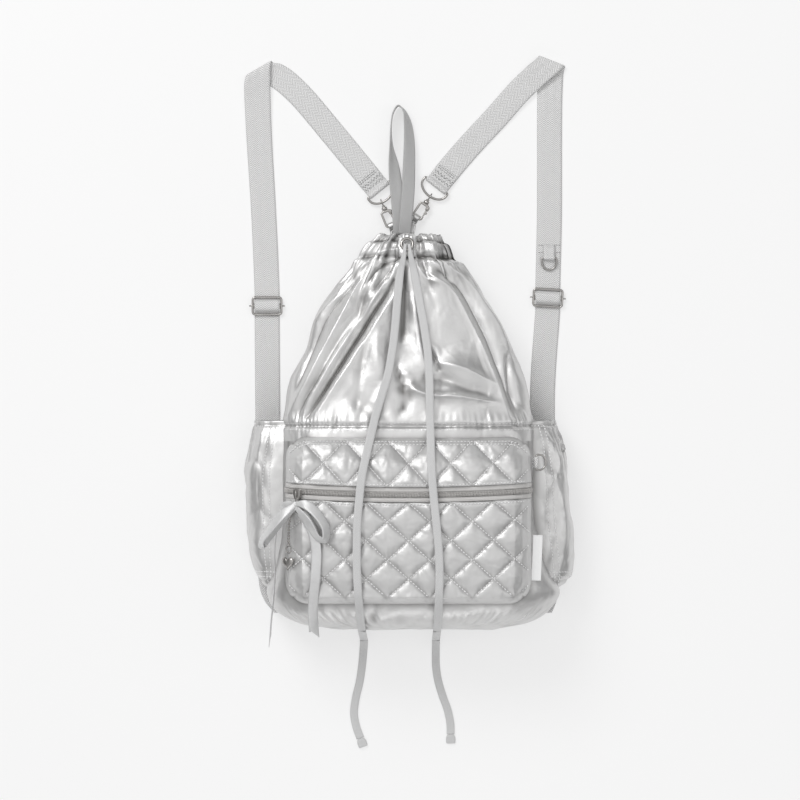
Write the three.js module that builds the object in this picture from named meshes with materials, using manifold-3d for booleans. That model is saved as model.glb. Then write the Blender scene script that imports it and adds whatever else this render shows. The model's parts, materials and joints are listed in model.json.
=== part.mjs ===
// A silver puffer drawstring backpack, lying on its back with its straps laid out above it.
// Millimetres. +Z is up out of the bag's front, +Y runs from the bag's foot to its neck and +X to the right.
// The origin is on the flat back panel, where the bag rests.
import * as THREE from "three";
import { mergeVertices } from "three/addons/utils/BufferGeometryUtils.js";
import Module from "manifold-3d";

const wasm = await Module();
wasm.setup();

// Driving dimensions of the bag
const BAG_LENGTH = 391;
const BAG_WIDTH = 256;
const BAG_DEPTH = 88;
const ORIGIN_SHARE = 0.2737; // the origin's place along the bag, from the foot
const SEAM_SHARE = 0.5166; // where the drawstring collar is sewn to the lower bag
const FABRIC = 2;
const CLEARANCE = 0.3;
const NECK_WALL = 3; // thickness of the gathered fabric at the neck
const LOWER_POINTS = 32;
const COLLAR_POINTS = 48;
const BELLY_SHARE = 0.34; // height of the widest line of a section
const FLAT_SINK = 7; // how far a section would reach under the surface that flattens it
const FRONT_SQUARE = 2.9;
const BACK_SQUARE = 3.4;
const GATHER_DEPTH = 4.2;
const GATHER_COUNT = 12;
const FOLD_DEPTH = 9;
const BACK_CALM = 0.8; // how far the folds die out on the back panel

// The front pocket
const POCKET_WIDTH = 238;
const POCKET_TOP_Y = 84;
const POCKET_FOOT_Y = -79;
const POCKET_RISE = 24;
const POCKET_CORNER = 22;
const POCKET_FACE_SHARE = 0.8656; // share of half the pocket's width up to its last stitched column
const QUILT_HALF_WIDTH = 20.6;
const QUILT_PUFF = 4.6;
const PADDING = 3;
const ZIP_Y = 28;
const ZIP_BAND = 15.5;
const ZIP_BOW = 4; // the zip's ends lie this much nearer the neck than its middle
const ZIP_RECESS = 1.8;
const ZIP_TAPE = 1;
const ZIP_COIL_WIDTH = 5;
const ZIP_COIL_HEIGHT = 2.2;
const ZIP_COIL_RISE = 0.7;

// The side pockets
const SIDE_MOUTH_Y = 100;
const SIDE_FOOT_Y = -68;
const SIDE_REACH = 165; // from the middle line to the furthest point of a side pocket
const SIDE_FABRIC = 1.6;
const SIDE_GATHER = 2.2;
const SIDE_LIFT = 1.8; // height of a side pocket's cloth over the floor, on top of the strap
const SIDE_SEAT = 0.88; // share of the bag's half width where a side pocket's arc begins, inside the bag

// Webbing, rings and adjusters
const WEB_WIDTH = 25;
const WEB = 1.4;
const WIRE = 2.4;
const BIG_RING_HEIGHT = 15.5;
const EYE_TAIL = 19; // the sewn-back end of the webbing behind a ring
const LIFT = 0.1;
const SMALL_RING_WIDTH = 17;
const SMALL_RING_HEIGHT = 14;
const SMALL_WIRE = 2;
const SMALL_TAB = 1;
const SMALL_TAB_WIDTH = 11;
const SMALL_TAB_TAIL = 13;
const SMALL_RING_DIP = 5; // degrees that the small ring leans down to the strap
const SIDE_TAB_TAIL = 4;
const SIDE_RING_HEIGHT = 11.6;
const RING_STEPS = 8;
const WIRE_SIDES = 6;
const SLIDER_WIDTH = 31;
const SLIDER_HEIGHT = 19.5;
const SLIDER_WIRE = 2.4;
const SLIDER_Z = 3;
const SLIDER_BAR = 5.4;
const SLIDER_BAR_THICKNESS = 1.6;
const SLIDER_TIP = 2.4;

// The snap hooks. Lengths run along a hook from the wire that its eye holds.
const HOOK_Z = 4.1;
const HOOK_THICKNESS = 3.2;
const HOOK_HALF_WIDTH = 5.8;
const HOOK_BAR = 2.2;
const HOOK_BASE = 8;
const HOOK_LENGTH = 26.2;
const HOOK_MOUTH_FROM = 14;
const HOOK_MOUTH_TO = 20.6;
const EYE_HOLE = 2.6;
const EYE_RADIUS = 3.9;
const EYE_WIDTH = 2;
const BARREL_RADIUS = 2.9;
const GATE_THICKNESS = 1.3;
const GATE_ARM = 1.6;
const GATE_PIVOT = 12;
const PIVOT_RADIUS = 0.7;
const HUB_RADIUS = 1.7;
const LOOP_HOLE = 2.4;
const LOOP_FABRIC = 1.2;
const LOOP_WIDTH = 6.4;

// The drawcord, the eyelet and the grab loop
const CORD_WIDTH = 8;
const CORD_THICKNESS = 2.2;
const CORD_BUNCHED = 3.2; // width of the cord where it is gathered into the eyelet
const CORD_SIDES = 6;
const CORD_END_LENGTH = 9;
const CORD_END_WIDTH = 9.4;
const CORD_END_THICKNESS = 3;
const EYELET_OUTER = 7.4;
const EYELET_INNER = 4.2;
const EYELET_THICKNESS = 1.6;
const NECK_TAB_WIDTH = 21;
const NECK_TAB_LENGTH = 24;
const NECK_SLOPE = -17; // degrees that the placket falls towards the mouth
const NECK_TAB = 1.6;
const GRAB_WIDTH = 13;
const GRAB_THICKNESS = 1.5;

// The zip's slider, the ribbon bow and the charm
const ZIP_SLIDER_WIDTH = 8.4;
const ZIP_SLIDER_LENGTH = 10.5;
const ZIP_SLIDER_HEIGHT = 3;
const KNOT_SIZE = 9;
const RIBBON_WIDTH = 10;
const RIBBON = 0.8;
const BEAD = 2.6;
const BEADS = 12;
const JUMP_RING = 6.4;
const HEART_WIDTH = 14;
const HEART_THICKNESS = 4.4;

// Places of things that are set by hand on the bag
const POCKET_X = 0.3;
// x: share of half the bag's width. y: share of its length. z: share of its depth.
const EYELET_PLACE = { x: -0.0078, y: 0.6995, z: 0.5864 };
const SMALL_RING_PLACE = { x: 1.1016, y: 0.6701 };

// Sections across the bag. along: share of the bag's length from its foot. left, right: shares of half the
// bag's width. low, high: shares of its depth. gather, fold: shares of the gather's and the folds' depth.
const SECTIONS = [
  { along: 0, left: 0.6, right: 0.68, low: 0.28, high: 0.52, gather: 0, fold: 0 },
  { along: 0.0085, left: 0.76, right: 0.85, low: 0.12, high: 0.68, gather: 0, fold: 0 },
  { along: 0.0265, left: 0.93, right: 1.0, low: 0.02, high: 0.8, gather: 0, fold: 0 },
  { along: 0.0563, left: 1.05, right: 1.11, low: 0, high: 0.9, gather: 0, fold: 0 },
  { along: 0.0946, left: 1.1, right: 1.18, low: 0, high: 0.96, gather: 0, fold: 0 },
  { along: 0.1586, left: 1.05, right: 1.09, low: 0, high: 0.99, gather: 0, fold: 0 },
  { along: 0.2737, left: 1.0, right: 1.02, low: 0, high: 1, gather: 0, fold: 0 },
  { along: 0.4015, left: 0.985, right: 1.0, low: 0, high: 0.99, gather: 0, fold: 0 },
  { along: 0.5166, left: 0.975, right: 0.985, low: 0, high: 0.93, gather: 0, fold: 0 },
  { along: 0.565, left: 0.955, right: 0.95, low: 0, high: 0.88, gather: 0, fold: 0.35 },
  { along: 0.6317, left: 0.92, right: 0.9, low: 0, high: 0.82, gather: 0.1, fold: 0.8 },
  { along: 0.7084, left: 0.8, right: 0.81, low: 0, high: 0.74, gather: 0.25, fold: 1 },
  { along: 0.7852, left: 0.73, right: 0.71, low: 0, high: 0.67, gather: 0.45, fold: 1 },
  { along: 0.849, left: 0.61, right: 0.58, low: 0, high: 0.63, gather: 0.7, fold: 0.85 },
  { along: 0.908, left: 0.45, right: 0.455, low: 0.01, high: 0.6, gather: 0.9, fold: 0.55 },
  { along: 0.951, left: 0.37, right: 0.36, low: 0.02, high: 0.58, gather: 1, fold: 0.2 },
  { along: 0.982, left: 0.29, right: 0.32, low: 0.04, high: 0.54, gather: 0.9, fold: 0 },
  { along: 1, left: 0.2, right: 0.25, low: 0.1, high: 0.44, gather: 0.7, fold: 0 },
];

// Long folds of the collar. neck, seam: the fold's place round the section, as a share of a turn from the
// right side over the front, at the neck and at the seam. width: share of a turn. depth: of FOLD_DEPTH.
const FOLDS = [
  { neck: 0.285, seam: 0.385, width: 0.022, depth: -1 },
  { neck: 0.315, seam: 0.41, width: 0.03, depth: 0.7 },
  { neck: 0.35, seam: 0.44, width: 0.025, depth: -0.7 },
  { neck: 0.25, seam: 0.262, width: 0.02, depth: -0.6 },
  { neck: 0.215, seam: 0.2, width: 0.025, depth: 0.5 },
  { neck: 0.15, seam: 0.095, width: 0.022, depth: 0.7 },
  { neck: 0.12, seam: 0.07, width: 0.02, depth: -0.9 },
  { neck: 0.07, seam: 0.03, width: 0.025, depth: 0.5 },
];

// Arcs of the side pockets from the foot to the mouth. left, right: shares of SIDE_REACH. low, top: shares
// of the bag's depth over SIDE_LIFT and over the floor. gather: share of the gather's depth.
const SIDE_SECTIONS = [
  { along: 0, left: 0.82, right: 0.88, low: 0.2, top: 0.4, gather: 0 },
  { along: 0.035, left: 0.885, right: 0.955, low: 0.03, top: 0.52, gather: 0 },
  { along: 0.1, left: 0.92, right: 0.99, low: 0, top: 0.58, gather: 0 },
  { along: 0.22, left: 0.95, right: 1.0, low: 0, top: 0.62, gather: 0 },
  { along: 0.45, left: 0.975, right: 0.98, low: 0, top: 0.64, gather: 0.1 },
  { along: 0.68, left: 0.985, right: 0.97, low: 0, top: 0.62, gather: 0.25 },
  { along: 0.86, left: 0.95, right: 0.94, low: 0, top: 0.58, gather: 0.8 },
  { along: 0.95, left: 0.93, right: 0.9, low: 0, top: 0.54, gather: 1 },
  { along: 1, left: 0.92, right: 0.885, low: 0, top: 0.52, gather: 1 },
];

// The rings at the straps' upper ends: the middle of the straight bar and the way the webbing runs there.
// x: share of half the bag's width. y: share of its length. hook: how far the hook is turned from that way.
const RING_LEFT = { x: -0.2289, y: 0.8448, heading: -51, hook: -17 };
const RING_RIGHT = { x: 0.2242, y: 0.8555, heading: -128, hook: 5 };
const SLIDER_LEFT = { x: -1.1, y: 0.5473, turn: 0 };
const SLIDER_RIGHT = { x: 1.0922, y: 0.5678, turn: -3 };

// Rise of the webbing over an adjuster's bar. off: share of the adjuster's height from the bar, along the
// strap. rise: share of the height of the bar's top.
const OVER_BAR = [
  { off: -0.564, rise: 0 },
  { off: -0.369, rise: 0.013 },
  { off: -0.164, rise: 1.066 },
  { off: 0, rise: 1.132 },
  { off: 0.164, rise: 1.066 },
  { off: 0.369, rise: 0.013 },
  { off: 0.564, rise: 0 },
];

// Route of each strap from the bag's foot to its ring. x: share of half the bag's width. y: share of its
// length. z: height of its underside, in thicknesses of the webbing. across: direction of the webbing's
// width in degrees. spread: how much longer the row is than the webbing is wide. bar: the adjuster it is on.
const STRAP_LEFT = [
  { x: -0.9453, y: -0.2353, z: 5.71, across: 0, spread: 1 },
  { x: -1.0234, y: -0.2046, z: 1.71, across: 0, spread: 1 },
  { x: -1.0625, y: -0.1688, z: 0, across: 0, spread: 1 },
  { x: -1.0898, y: 0.1023, z: 0, across: 0, spread: 1 },
  { x: -1.0961, y: 0.3325, z: 0, across: 0, spread: 1 },
  { bar: SLIDER_LEFT },
  { x: -1.1133, y: 0.6905, z: 0, across: 1, spread: 1 },
  { x: -1.1328, y: 0.8184, z: 0, across: 2, spread: 1 },
  { x: -1.1609, y: 0.9719, z: 0.57, across: 2, spread: 1.02 },
  { x: -1.1742, y: 1.0742, z: 1.86, across: 7, spread: 1.05 },
  { x: -1.1766, y: 1.1202, z: 3, across: 18, spread: 1.09 },
  { x: -1.1719, y: 1.1458, z: 3, across: 27, spread: 1.12 },
  { x: -1.1609, y: 1.156, z: 1.71, across: 30, spread: 1.13 },
  { x: -1.1484, y: 1.1509, z: 0.29, across: 32, spread: 1.12 },
  { x: -1.0781, y: 1.1445, z: 0, across: 40, spread: 1.08 },
  { x: -0.9844, y: 1.1279, z: 0, across: 45, spread: 1.02 },
  { x: -0.8438, y: 1.087, z: 0, across: 41, spread: 1 },
  { x: -0.6172, y: 1, z: 0, across: 39, spread: 1 },
  { x: -0.4141, y: 0.9194, z: 0, across: 39, spread: 1 },
  { x: -0.268, y: 0.8606, z: 0, across: 39, spread: 1 },
];
const STRAP_RIGHT = [
  { x: 1.0234, y: -0.2353, z: 6.43, across: 0, spread: 1 },
  { x: 1.0625, y: -0.2046, z: 2, across: 0, spread: 1 },
  { x: 1.0703, y: -0.1688, z: 0, across: 0, spread: 1 },
  { x: 1.0625, y: 0.1023, z: 0, across: 0, spread: 1 },
  { x: 1.0508, y: 0.3325, z: 0, across: -3, spread: 1 },
  { bar: SLIDER_RIGHT },
  { x: 1.1039, y: 0.7673, z: 0, across: 0, spread: 1 },
  { x: 1.1055, y: 1.023, z: 0, across: 0, spread: 1 },
  { x: 1.1086, y: 1.1049, z: 0, across: -8, spread: 1.02 },
  { x: 1.1141, y: 1.1509, z: 0, across: -18, spread: 1.08 },
  { x: 1.125, y: 1.1701, z: 0.43, across: -20, spread: 1.1 },
  { x: 1.125, y: 1.1739, z: 1.86, across: -21, spread: 1.1 },
  { x: 1.0898, y: 1.1624, z: 3.14, across: -25, spread: 1.08 },
  { x: 1, y: 1.1368, z: 3, across: -35, spread: 1.03 },
  { x: 0.875, y: 1.0985, z: 1.71, across: -41, spread: 1 },
  { x: 0.6875, y: 1.0294, z: 0.43, across: -41, spread: 1 },
  { x: 0.4844, y: 0.9578, z: 0, across: -39, spread: 1 },
  { x: 0.3555, y: 0.9092, z: 0, across: -38, spread: 1 },
  { x: 0.2625, y: 0.8716, z: 0, across: -38, spread: 1 },
];
const STRAP_STEP = 30;

// Route of the grab loop. x: share of half the bag's width. y: share of its length. z: share of the loop's
// own width. tilt: 0 with the width along X, 90 with its width along Z.
const GRAB_ROUTE = [
  { x: -0.0625, y: 0.7284, z: 0.815, tilt: 0 },
  { x: -0.0703, y: 0.7673, z: 0.815, tilt: 2 },
  { x: -0.0906, y: 0.844, z: 0.8, tilt: 8 },
  { x: -0.1094, y: 0.9003, z: 0.738, tilt: 36 },
  { x: -0.1297, y: 0.9565, z: 0.662, tilt: 76 },
  { x: -0.1313, y: 1.0077, z: 0.646, tilt: 90 },
  { x: -0.1141, y: 1.0409, z: 0.646, tilt: 90 },
  { x: -0.0766, y: 1.0575, z: 0.646, tilt: 90 },
  { x: -0.0344, y: 1.0473, z: 0.646, tilt: 98 },
  { x: -0.0047, y: 1.0179, z: 0.646, tilt: 122 },
  { x: 0.0094, y: 0.9719, z: 0.677, tilt: 142 },
  { x: 0.0078, y: 0.9003, z: 0.769, tilt: 160 },
  { x: 0, y: 0.8338, z: 0.877, tilt: 172 },
  { x: -0.0156, y: 0.7724, z: 0.969, tilt: 178 },
  { x: -0.0273, y: 0.7284, z: 0.969, tilt: 180 },
];

// Route of each hook loop from the hook's bar to the neck. x, y as in a strap's route. z: share of the bag's
// depth. The first step follows the hook.
const LOOP_LEFT = [
  { x: -0.075, y: 0.7238, z: 0.0886 },
  { x: -0.0719, y: 0.711, z: 0.1068 },
];
const LOOP_RIGHT = [
  { x: 0.0266, y: 0.7468, z: 0.0591 },
  { x: 0.0141, y: 0.734, z: 0.075 },
  { x: 0.0094, y: 0.7212, z: 0.0932 },
  { x: 0.0063, y: 0.7084, z: 0.1091 },
];

// Routes of the drawcord's two free ends, from the eyelet to the pieces that end them.
const CORD_LEFT = [
  [-2.9, 273.6, 47], [-2.9, 273, 55], [-3.4, 268, 58.6], [-4.6, 260, 58.6], [-7.2, 249, 56.6],
  [-9, 236, 58], [-10.8, 216, 62], [-12.8, 192, 66.5], [-15.4, 170, 71.5], [-19.6, 146, 76.5],
  [-26, 124, 80.5], [-32, 104, 84.8], [-36.2, 86, 96], [-40.8, 66, 109], [-45, 46, 116.2],
  [-47.4, 24, 117.4], [-49.4, 0, 118.6], [-49.8, -24, 118.6], [-49.6, -46, 117.8], [-48.4, -68, 115.4],
  [-47.4, -82, 105], [-46.6, -92, 90], [-45.8, -102.5, 71], [-45, -110, 51], [-44.4, -115, 29],
  [-44, -121, 9.5], [-44.6, -131, 1.5], [-46.2, -148, 1.5], [-48.6, -163, 1.5], [-52.2, -178, 1.5],
  [-54, -193, 1.5], [-51.6, -207, 1.5], [-47.6, -218, 1.5],
];
const CORD_RIGHT = [
  [0.9, 273.6, 47], [0.9, 273, 55], [1.6, 268, 58.6], [2.8, 260, 58.6], [5.4, 249, 56.6], [8.2, 234, 58.4],
  [11.8, 214, 61.6], [15.6, 192, 66.8], [19, 168, 72], [20.6, 144, 77], [21, 120, 81.8], [21.2, 104, 85],
  [21.6, 86, 96.4], [22, 66, 109.4], [23, 46, 116.4], [24.8, 24, 117.6], [27.2, 0, 118.8],
  [29.4, -24, 118.8], [30.2, -46, 118], [29.8, -68, 115.6], [29.4, -82, 105.2], [29, -92, 90.4],
  [28.6, -102.5, 71.4], [28.2, -110, 51.4], [28, -115, 29], [27.8, -121, 9.5], [27.8, -131, 1.5],
  [28, -146, 1.5], [30, -160, 1.5], [34.6, -176, 1.5], [39.6, -190, 1.5], [42.4, -204, 1.5],
  [42.6, -214, 1.5],
];

// The zip's slider at the closed end. across: share of half the pocket's width from its middle line.
// lean: degrees that it leans towards the side.
const ZIP_END = { across: -0.906, lift: 1.85, ahead: 0.8, lean: -30 };

// The bow's knot and the ribbon's routes from it. x, y, z: from the zip's slider, in widths of the ribbon.
// tilt: turn of the ribbon's width about its own run, 0 with the width level.
const KNOT_PLACE = { x: -0.15, y: -1.12, z: 0.3 };
const BOW_LOOPS = [
  [
    { x: -0.25, y: -1.03, z: 0.6, tilt: 20 },
    { x: -1.35, y: -1.88, z: 0.8, tilt: 35 },
    { x: -2.65, y: -3.38, z: 0.4, tilt: 50 },
    { x: -3.45, y: -4.53, z: -0.3, tilt: 60 },
    { x: -3.4, y: -5.08, z: -0.8, tilt: 60 },
    { x: -2.65, y: -4.18, z: -0.8, tilt: 60 },
    { x: -1.45, y: -2.58, z: -0.1, tilt: 50 },
    { x: -0.25, y: -1.28, z: 0.3, tilt: 30 },
  ],
  [
    { x: -0.05, y: -0.93, z: 0.6, tilt: -10 },
    { x: 0.85, y: -0.98, z: 1.15, tilt: -20 },
    { x: 2.05, y: -1.98, z: 1.55, tilt: -30 },
    { x: 2.8, y: -3.28, z: 1.6, tilt: -40 },
    { x: 2.7, y: -4.38, z: 1.45, tilt: -50 },
    { x: 2.05, y: -4.23, z: 1.26, tilt: -55 },
    { x: 1.05, y: -2.68, z: 1.16, tilt: -40 },
    { x: -0.05, y: -1.33, z: 0.55, tilt: -20 },
  ],
];
const BOW_TAILS = [
  [
    { x: -0.49, y: -1.14, z: -0.05, tilt: 0 },
    { x: -1.19, y: -1.24, z: -0.44, tilt: 10 },
    { x: -1.61, y: -1.88, z: -1.3, tilt: 60 },
    { x: -1.95, y: -3.08, z: -2.1, tilt: 88 },
    { x: -2.25, y: -5.28, z: -2.5, tilt: 90 },
    { x: -2.25, y: -7.88, z: -2.9, tilt: 92 },
    { x: -2.4, y: -10.28, z: -3.3, tilt: 94 },
    { x: -2.65, y: -12.48, z: -3.9, tilt: 96 },
    { x: -2.8, y: -14.48, z: -4.5, tilt: 96 },
  ],
  [
    { x: 0.39, y: -1.68, z: 0.36, tilt: 0 },
    { x: 0.99, y: -2.58, z: 0.54, tilt: 4 },
    { x: 1.55, y: -3.78, z: 0.64, tilt: 10 },
    { x: 1.85, y: -5.28, z: 0.68, tilt: 10 },
    { x: 1.8, y: -7.68, z: 0.6, tilt: 0 },
    { x: 1.6, y: -9.88, z: 0.16, tilt: -10 },
    { x: 1.5, y: -11.68, z: -0.5, tilt: -15 },
    { x: 1.6, y: -13.58, z: -1.3, tilt: -20 },
  ],
];

// Route of the charm's chain from the zip's slider. x, y, z: in widths of the ribbon.
const CHAIN_ROUTE = [
  { x: -0.49, y: -1.83, z: -0.48 },
  { x: -0.75, y: -2.48, z: -0.73 },
  { x: -0.85, y: -3.68, z: -0.79 },
  { x: -0.85, y: -5.02, z: -0.83 },
];
const CHARM_LEAN = -34;
const CHARM_REACH = 4; // from the chain's last bead to the middle of the jump ring
const HEART_REACH = 12.6; // from there to the middle of the heart
const HEART_DROP = 0.9;

// The ring and the white label at the right of the front pocket. out: from the pocket's side. below, above:
// from its top and its foot. height: share of the bag's depth.
const SIDE_RING_PLACE = { out: 5.9, below: 25, height: 0.8977, lean: 14 };
const LABEL_PLACE = { out: 6.7, above: 44.5, height: 0.8068, lean: 24, turn: -2 };
const LABEL_WIDTH = 9.4;
const LABEL_LENGTH = 45;
const LABEL_THICKNESS = 0.8;

const SILVER = 0xc4c4c2;
const FABRIC_LOOK = { color: SILVER, roughness: 0.34, metalness: 0.65 };
const WEB_LOOK = { color: 0xc9c9c7, roughness: 0.6, metalness: 0.15 };
const METAL_LOOK = { color: 0xb9b4aa, roughness: 0.22, metalness: 1 };
const CORD_LOOK = { color: 0xc6c6c4, roughness: 0.65, metalness: 0.1 };
const RIBBON_LOOK = { color: 0xc0c0bf, roughness: 0.4, metalness: 0.2 };
const LABEL_LOOK = { color: 0xf2f2f4, roughness: 0.7, metalness: 0 };
const ZIP_LOOK = { color: 0xaeaca8, roughness: 0.55, metalness: 0.2 };

const bag = new THREE.Group();
const v3 = (x, y, z) => new THREE.Vector3(x, y, z);
const radians = THREE.MathUtils.degToRad;

// Adds one named mesh to the bag.
function addMesh(name, geometry, look) {
  const mesh = new THREE.Mesh(geometry, new THREE.MeshStandardMaterial(look));
  mesh.name = name;
  bag.add(mesh);
  return mesh;
}

// A closed geometry as a manifold solid, with its faces turned out.
function solidOf(geometry) {
  const bare = new THREE.BufferGeometry();
  const plain = geometry.index ? geometry.toNonIndexed() : geometry;
  bare.setAttribute("position", plain.getAttribute("position"));
  const merged = mergeVertices(bare, 1e-4);
  const triVerts = new Uint32Array(merged.index.array);
  const vertProperties = new Float32Array(merged.attributes.position.array);
  const made = new wasm.Manifold(new wasm.Mesh({ numProp: 3, vertProperties, triVerts }));
  if (made.volume() >= 0) return made;
  for (let i = 0; i < triVerts.length; i += 3) triVerts.subarray(i, i + 3).reverse();
  return new wasm.Manifold(new wasm.Mesh({ numProp: 3, vertProperties, triVerts }));
}

// A manifold solid's largest body as a three.js geometry.
function geometryOf(solid) {
  const bodies = solid.decompose().sort((a, b) => b.volume() - a.volume());
  const { numProp, vertProperties, triVerts } = bodies[0].getMesh();
  const points = [];
  for (let i = 0; i < vertProperties.length; i += numProp) points.push(...vertProperties.slice(i, i + 3));
  const geometry = new THREE.BufferGeometry();
  geometry.setAttribute("position", new THREE.Float32BufferAttribute(points, 3));
  geometry.setIndex([...triVerts]);
  return geometry;
}

// Straight-line value of one column of a table at a place along it.
function tableAt(rows, column, along) {
  const last = rows.length - 1;
  const i = Math.min(last - 1, Math.max(0, rows.findIndex((row) => row.along > along) - 1));
  const at = along >= rows[last].along ? last - 1 : i;
  const share = (along - rows[at].along) / (rows[at + 1].along - rows[at].along);
  return THREE.MathUtils.lerp(rows[at][column], rows[at + 1][column], THREE.MathUtils.clamp(share, 0, 1));
}

// Unit normals of a grid of points. Rows and columns may close on themselves.
function gridNormals(grid, ringRows) {
  const last = grid.length - 1;
  return grid.map((row, i) =>
    row.map((_, j) => {
      const n = row.length;
      const before = ringRows ? (j + n - 1) % n : Math.max(0, j - 1);
      const after = ringRows ? (j + 1) % n : Math.min(n - 1, j + 1);
      const along = grid[Math.min(last, i + 1)][j].clone().sub(grid[Math.max(0, i - 1)][j]);
      const across = row[after].clone().sub(row[before]);
      return along.cross(across).normalize();
    }),
  );
}

// A grid moved along its normals.
function offsetGrid(grid, distance, ringRows) {
  const normals = gridNormals(grid, ringRows);
  return grid.map((row, i) => row.map((p, j) => p.clone().addScaledVector(normals[i][j], distance)));
}

// Collects triangles of a mesh whose corners are named by points.
class Surface {
  constructor() {
    this.corners = [];
  }

  triangle(a, b, c) {
    for (const p of [a, b, c]) this.corners.push(p.x, p.y, p.z);
  }

  quad(a, b, c, d, otherDiagonal = false) {
    if (otherDiagonal) {
      this.triangle(a, b, d);
      this.triangle(b, c, d);
    } else {
      this.triangle(a, b, c);
      this.triangle(a, c, d);
    }
  }

  // The quads of a grid, facing one way or the other, divided along the same lines either way.
  grid(rows, ringRows, flip, creased) {
    for (let i = 0; i + 1 < rows.length; i++) {
      const n = rows[i].length;
      for (let j = 0; j < (ringRows ? n : n - 1); j++) {
        const k = (j + 1) % n;
        const [a, b, c, d] = [rows[i][j], rows[i + 1][j], rows[i + 1][k], rows[i][k]];
        const other = creased ? !creased(i, j) : false;
        if (flip) this.quad(d, c, b, a, !other);
        else this.quad(a, b, c, d, other);
      }
    }
  }

  // A strip between two lines of points.
  strip(from, to, ring, flip) {
    this.grid([from, to], ring, flip);
  }

  // A fan that closes a ring at its middle.
  fan(ring, flip) {
    const middle = ring.reduce((sum, p) => sum.add(p), v3(0, 0, 0)).divideScalar(ring.length);
    ring.forEach((p, j) => {
      const next = ring[(j + 1) % ring.length];
      if (flip) this.triangle(next, p, middle);
      else this.triangle(p, next, middle);
    });
  }

  geometry() {
    const made = new THREE.BufferGeometry();
    made.setAttribute("position", new THREE.Float32BufferAttribute(this.corners, 3));
    return made;
  }
}

// A closed solid from a grid of rings, capped at both ends.
function ringSolid(rings, creased = null) {
  const surface = new Surface();
  surface.grid(rings, true, false, creased);
  surface.fan(rings[0], false);
  surface.fan(rings[rings.length - 1], true);
  return solidOf(surface.geometry());
}

// A sheet of some thickness under a grid of points, as a closed solid. The rows in square are cut upright.
function sheetSolid(grid, thickness, square = [], creased = null) {
  const under = offsetGrid(grid, -thickness, false);
  for (const i of square) under[i].forEach((p, j) => p.setY(grid[i][j].y));
  const surface = new Surface();
  const side = (rows, j) => rows.map((row) => row[j]);
  const last = grid[0].length - 1;
  surface.grid(grid, false, false, creased);
  surface.grid(under, false, true, creased);
  surface.strip(grid[0], under[0], false, true);
  surface.strip(grid[grid.length - 1], under[under.length - 1], false, false);
  surface.strip(side(grid, 0), side(under, 0), false, false);
  surface.strip(side(grid, last), side(under, last), false, true);
  return solidOf(surface.geometry());
}

// A solid swept from sections along a list of frames: { at, side, up }. The section is a list of [side, up].
// Both faces of a flat strip are divided along the same lines, so they keep apart where it twists.
function sweepSolid(frames, section) {
  const rings = frames.map(({ at, side, up }) =>
    section.map(([s, u]) => at.clone().addScaledVector(side, s).addScaledVector(up, u)),
  );
  return ringSolid(rings, section.length === 4 ? (i, j) => j !== 2 : null);
}

// A wire swept round a closed flat path, given as points in its own plane.
function closedWire(path, radius, sides) {
  const rings = path.map((p, i) => {
    const before = path[(i + path.length - 1) % path.length];
    const after = path[(i + 1) % path.length];
    const out = new THREE.Vector2(after.y - before.y, before.x - after.x).normalize();
    return Array.from({ length: sides }, (_, k) => {
      const angle = (2 * Math.PI * (k + 0.5)) / sides;
      const reach = radius * Math.cos(angle);
      return v3(p.x + out.x * reach, p.y + out.y * reach, radius * Math.sin(angle));
    });
  });
  const surface = new Surface();
  surface.grid([...rings, rings[0]], true, false);
  return solidOf(surface.geometry());
}

// An oval or round section with its width first.
function ovalSection(width, height, sides) {
  return Array.from({ length: sides }, (_, k) => {
    const angle = (2 * Math.PI * k) / sides;
    return [(width / 2) * Math.cos(angle), (height / 2) * Math.sin(angle)];
  });
}

// A flat shape extruded upright from its middle plane.
function plateSolid(shape, thickness, curveSegments = 6) {
  const made = new THREE.ExtrudeGeometry(shape, { depth: thickness, bevelEnabled: false, curveSegments });
  made.translate(0, 0, -thickness / 2);
  return solidOf(made);
}

function boxSolid(width, length, height, x, y, z) {
  const made = new THREE.BoxGeometry(width, length, height);
  made.translate(x, y, z);
  return solidOf(made);
}

// A cylinder between two places on the first axis.
function barSolid(radius, from, to, sides = 12) {
  const made = new THREE.CylinderGeometry(radius, radius, to - from, sides);
  made.rotateZ(-Math.PI / 2);
  made.translate((from + to) / 2, 0, 0);
  return solidOf(made);
}

// A flat disk about the third axis, centred on the origin.
function diskSolid(radius, thickness, sides) {
  const made = new THREE.CylinderGeometry(radius, radius, thickness, sides);
  made.rotateX(Math.PI / 2);
  return solidOf(made);
}

// Moves a manifold solid by a three.js matrix.
function moved(solid, matrix) {
  return solid.transform(matrix.elements);
}

// Matrix of a frame that stands at a point and is turned about Z.
function turned(x, y, z, degrees) {
  const turn = new THREE.Matrix4().makeRotationZ(radians(degrees));
  return new THREE.Matrix4().makeTranslation(x, y, z).multiply(turn);
}

// Matrix of a frame that stands at a point, is turned about Z and then leans about its own second axis.
function leaning({ x, y, z }, lean, degrees = 0) {
  return turned(x, y, z, degrees).multiply(new THREE.Matrix4().makeRotationY(radians(lean)));
}

const bagY = (along) => (along - ORIGIN_SHARE) * BAG_LENGTH;

// A point whose place is given in shares of the bag.
const onBag = ({ x, y }, z) => v3((x * BAG_WIDTH) / 2, y * BAG_LENGTH, z);

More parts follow.
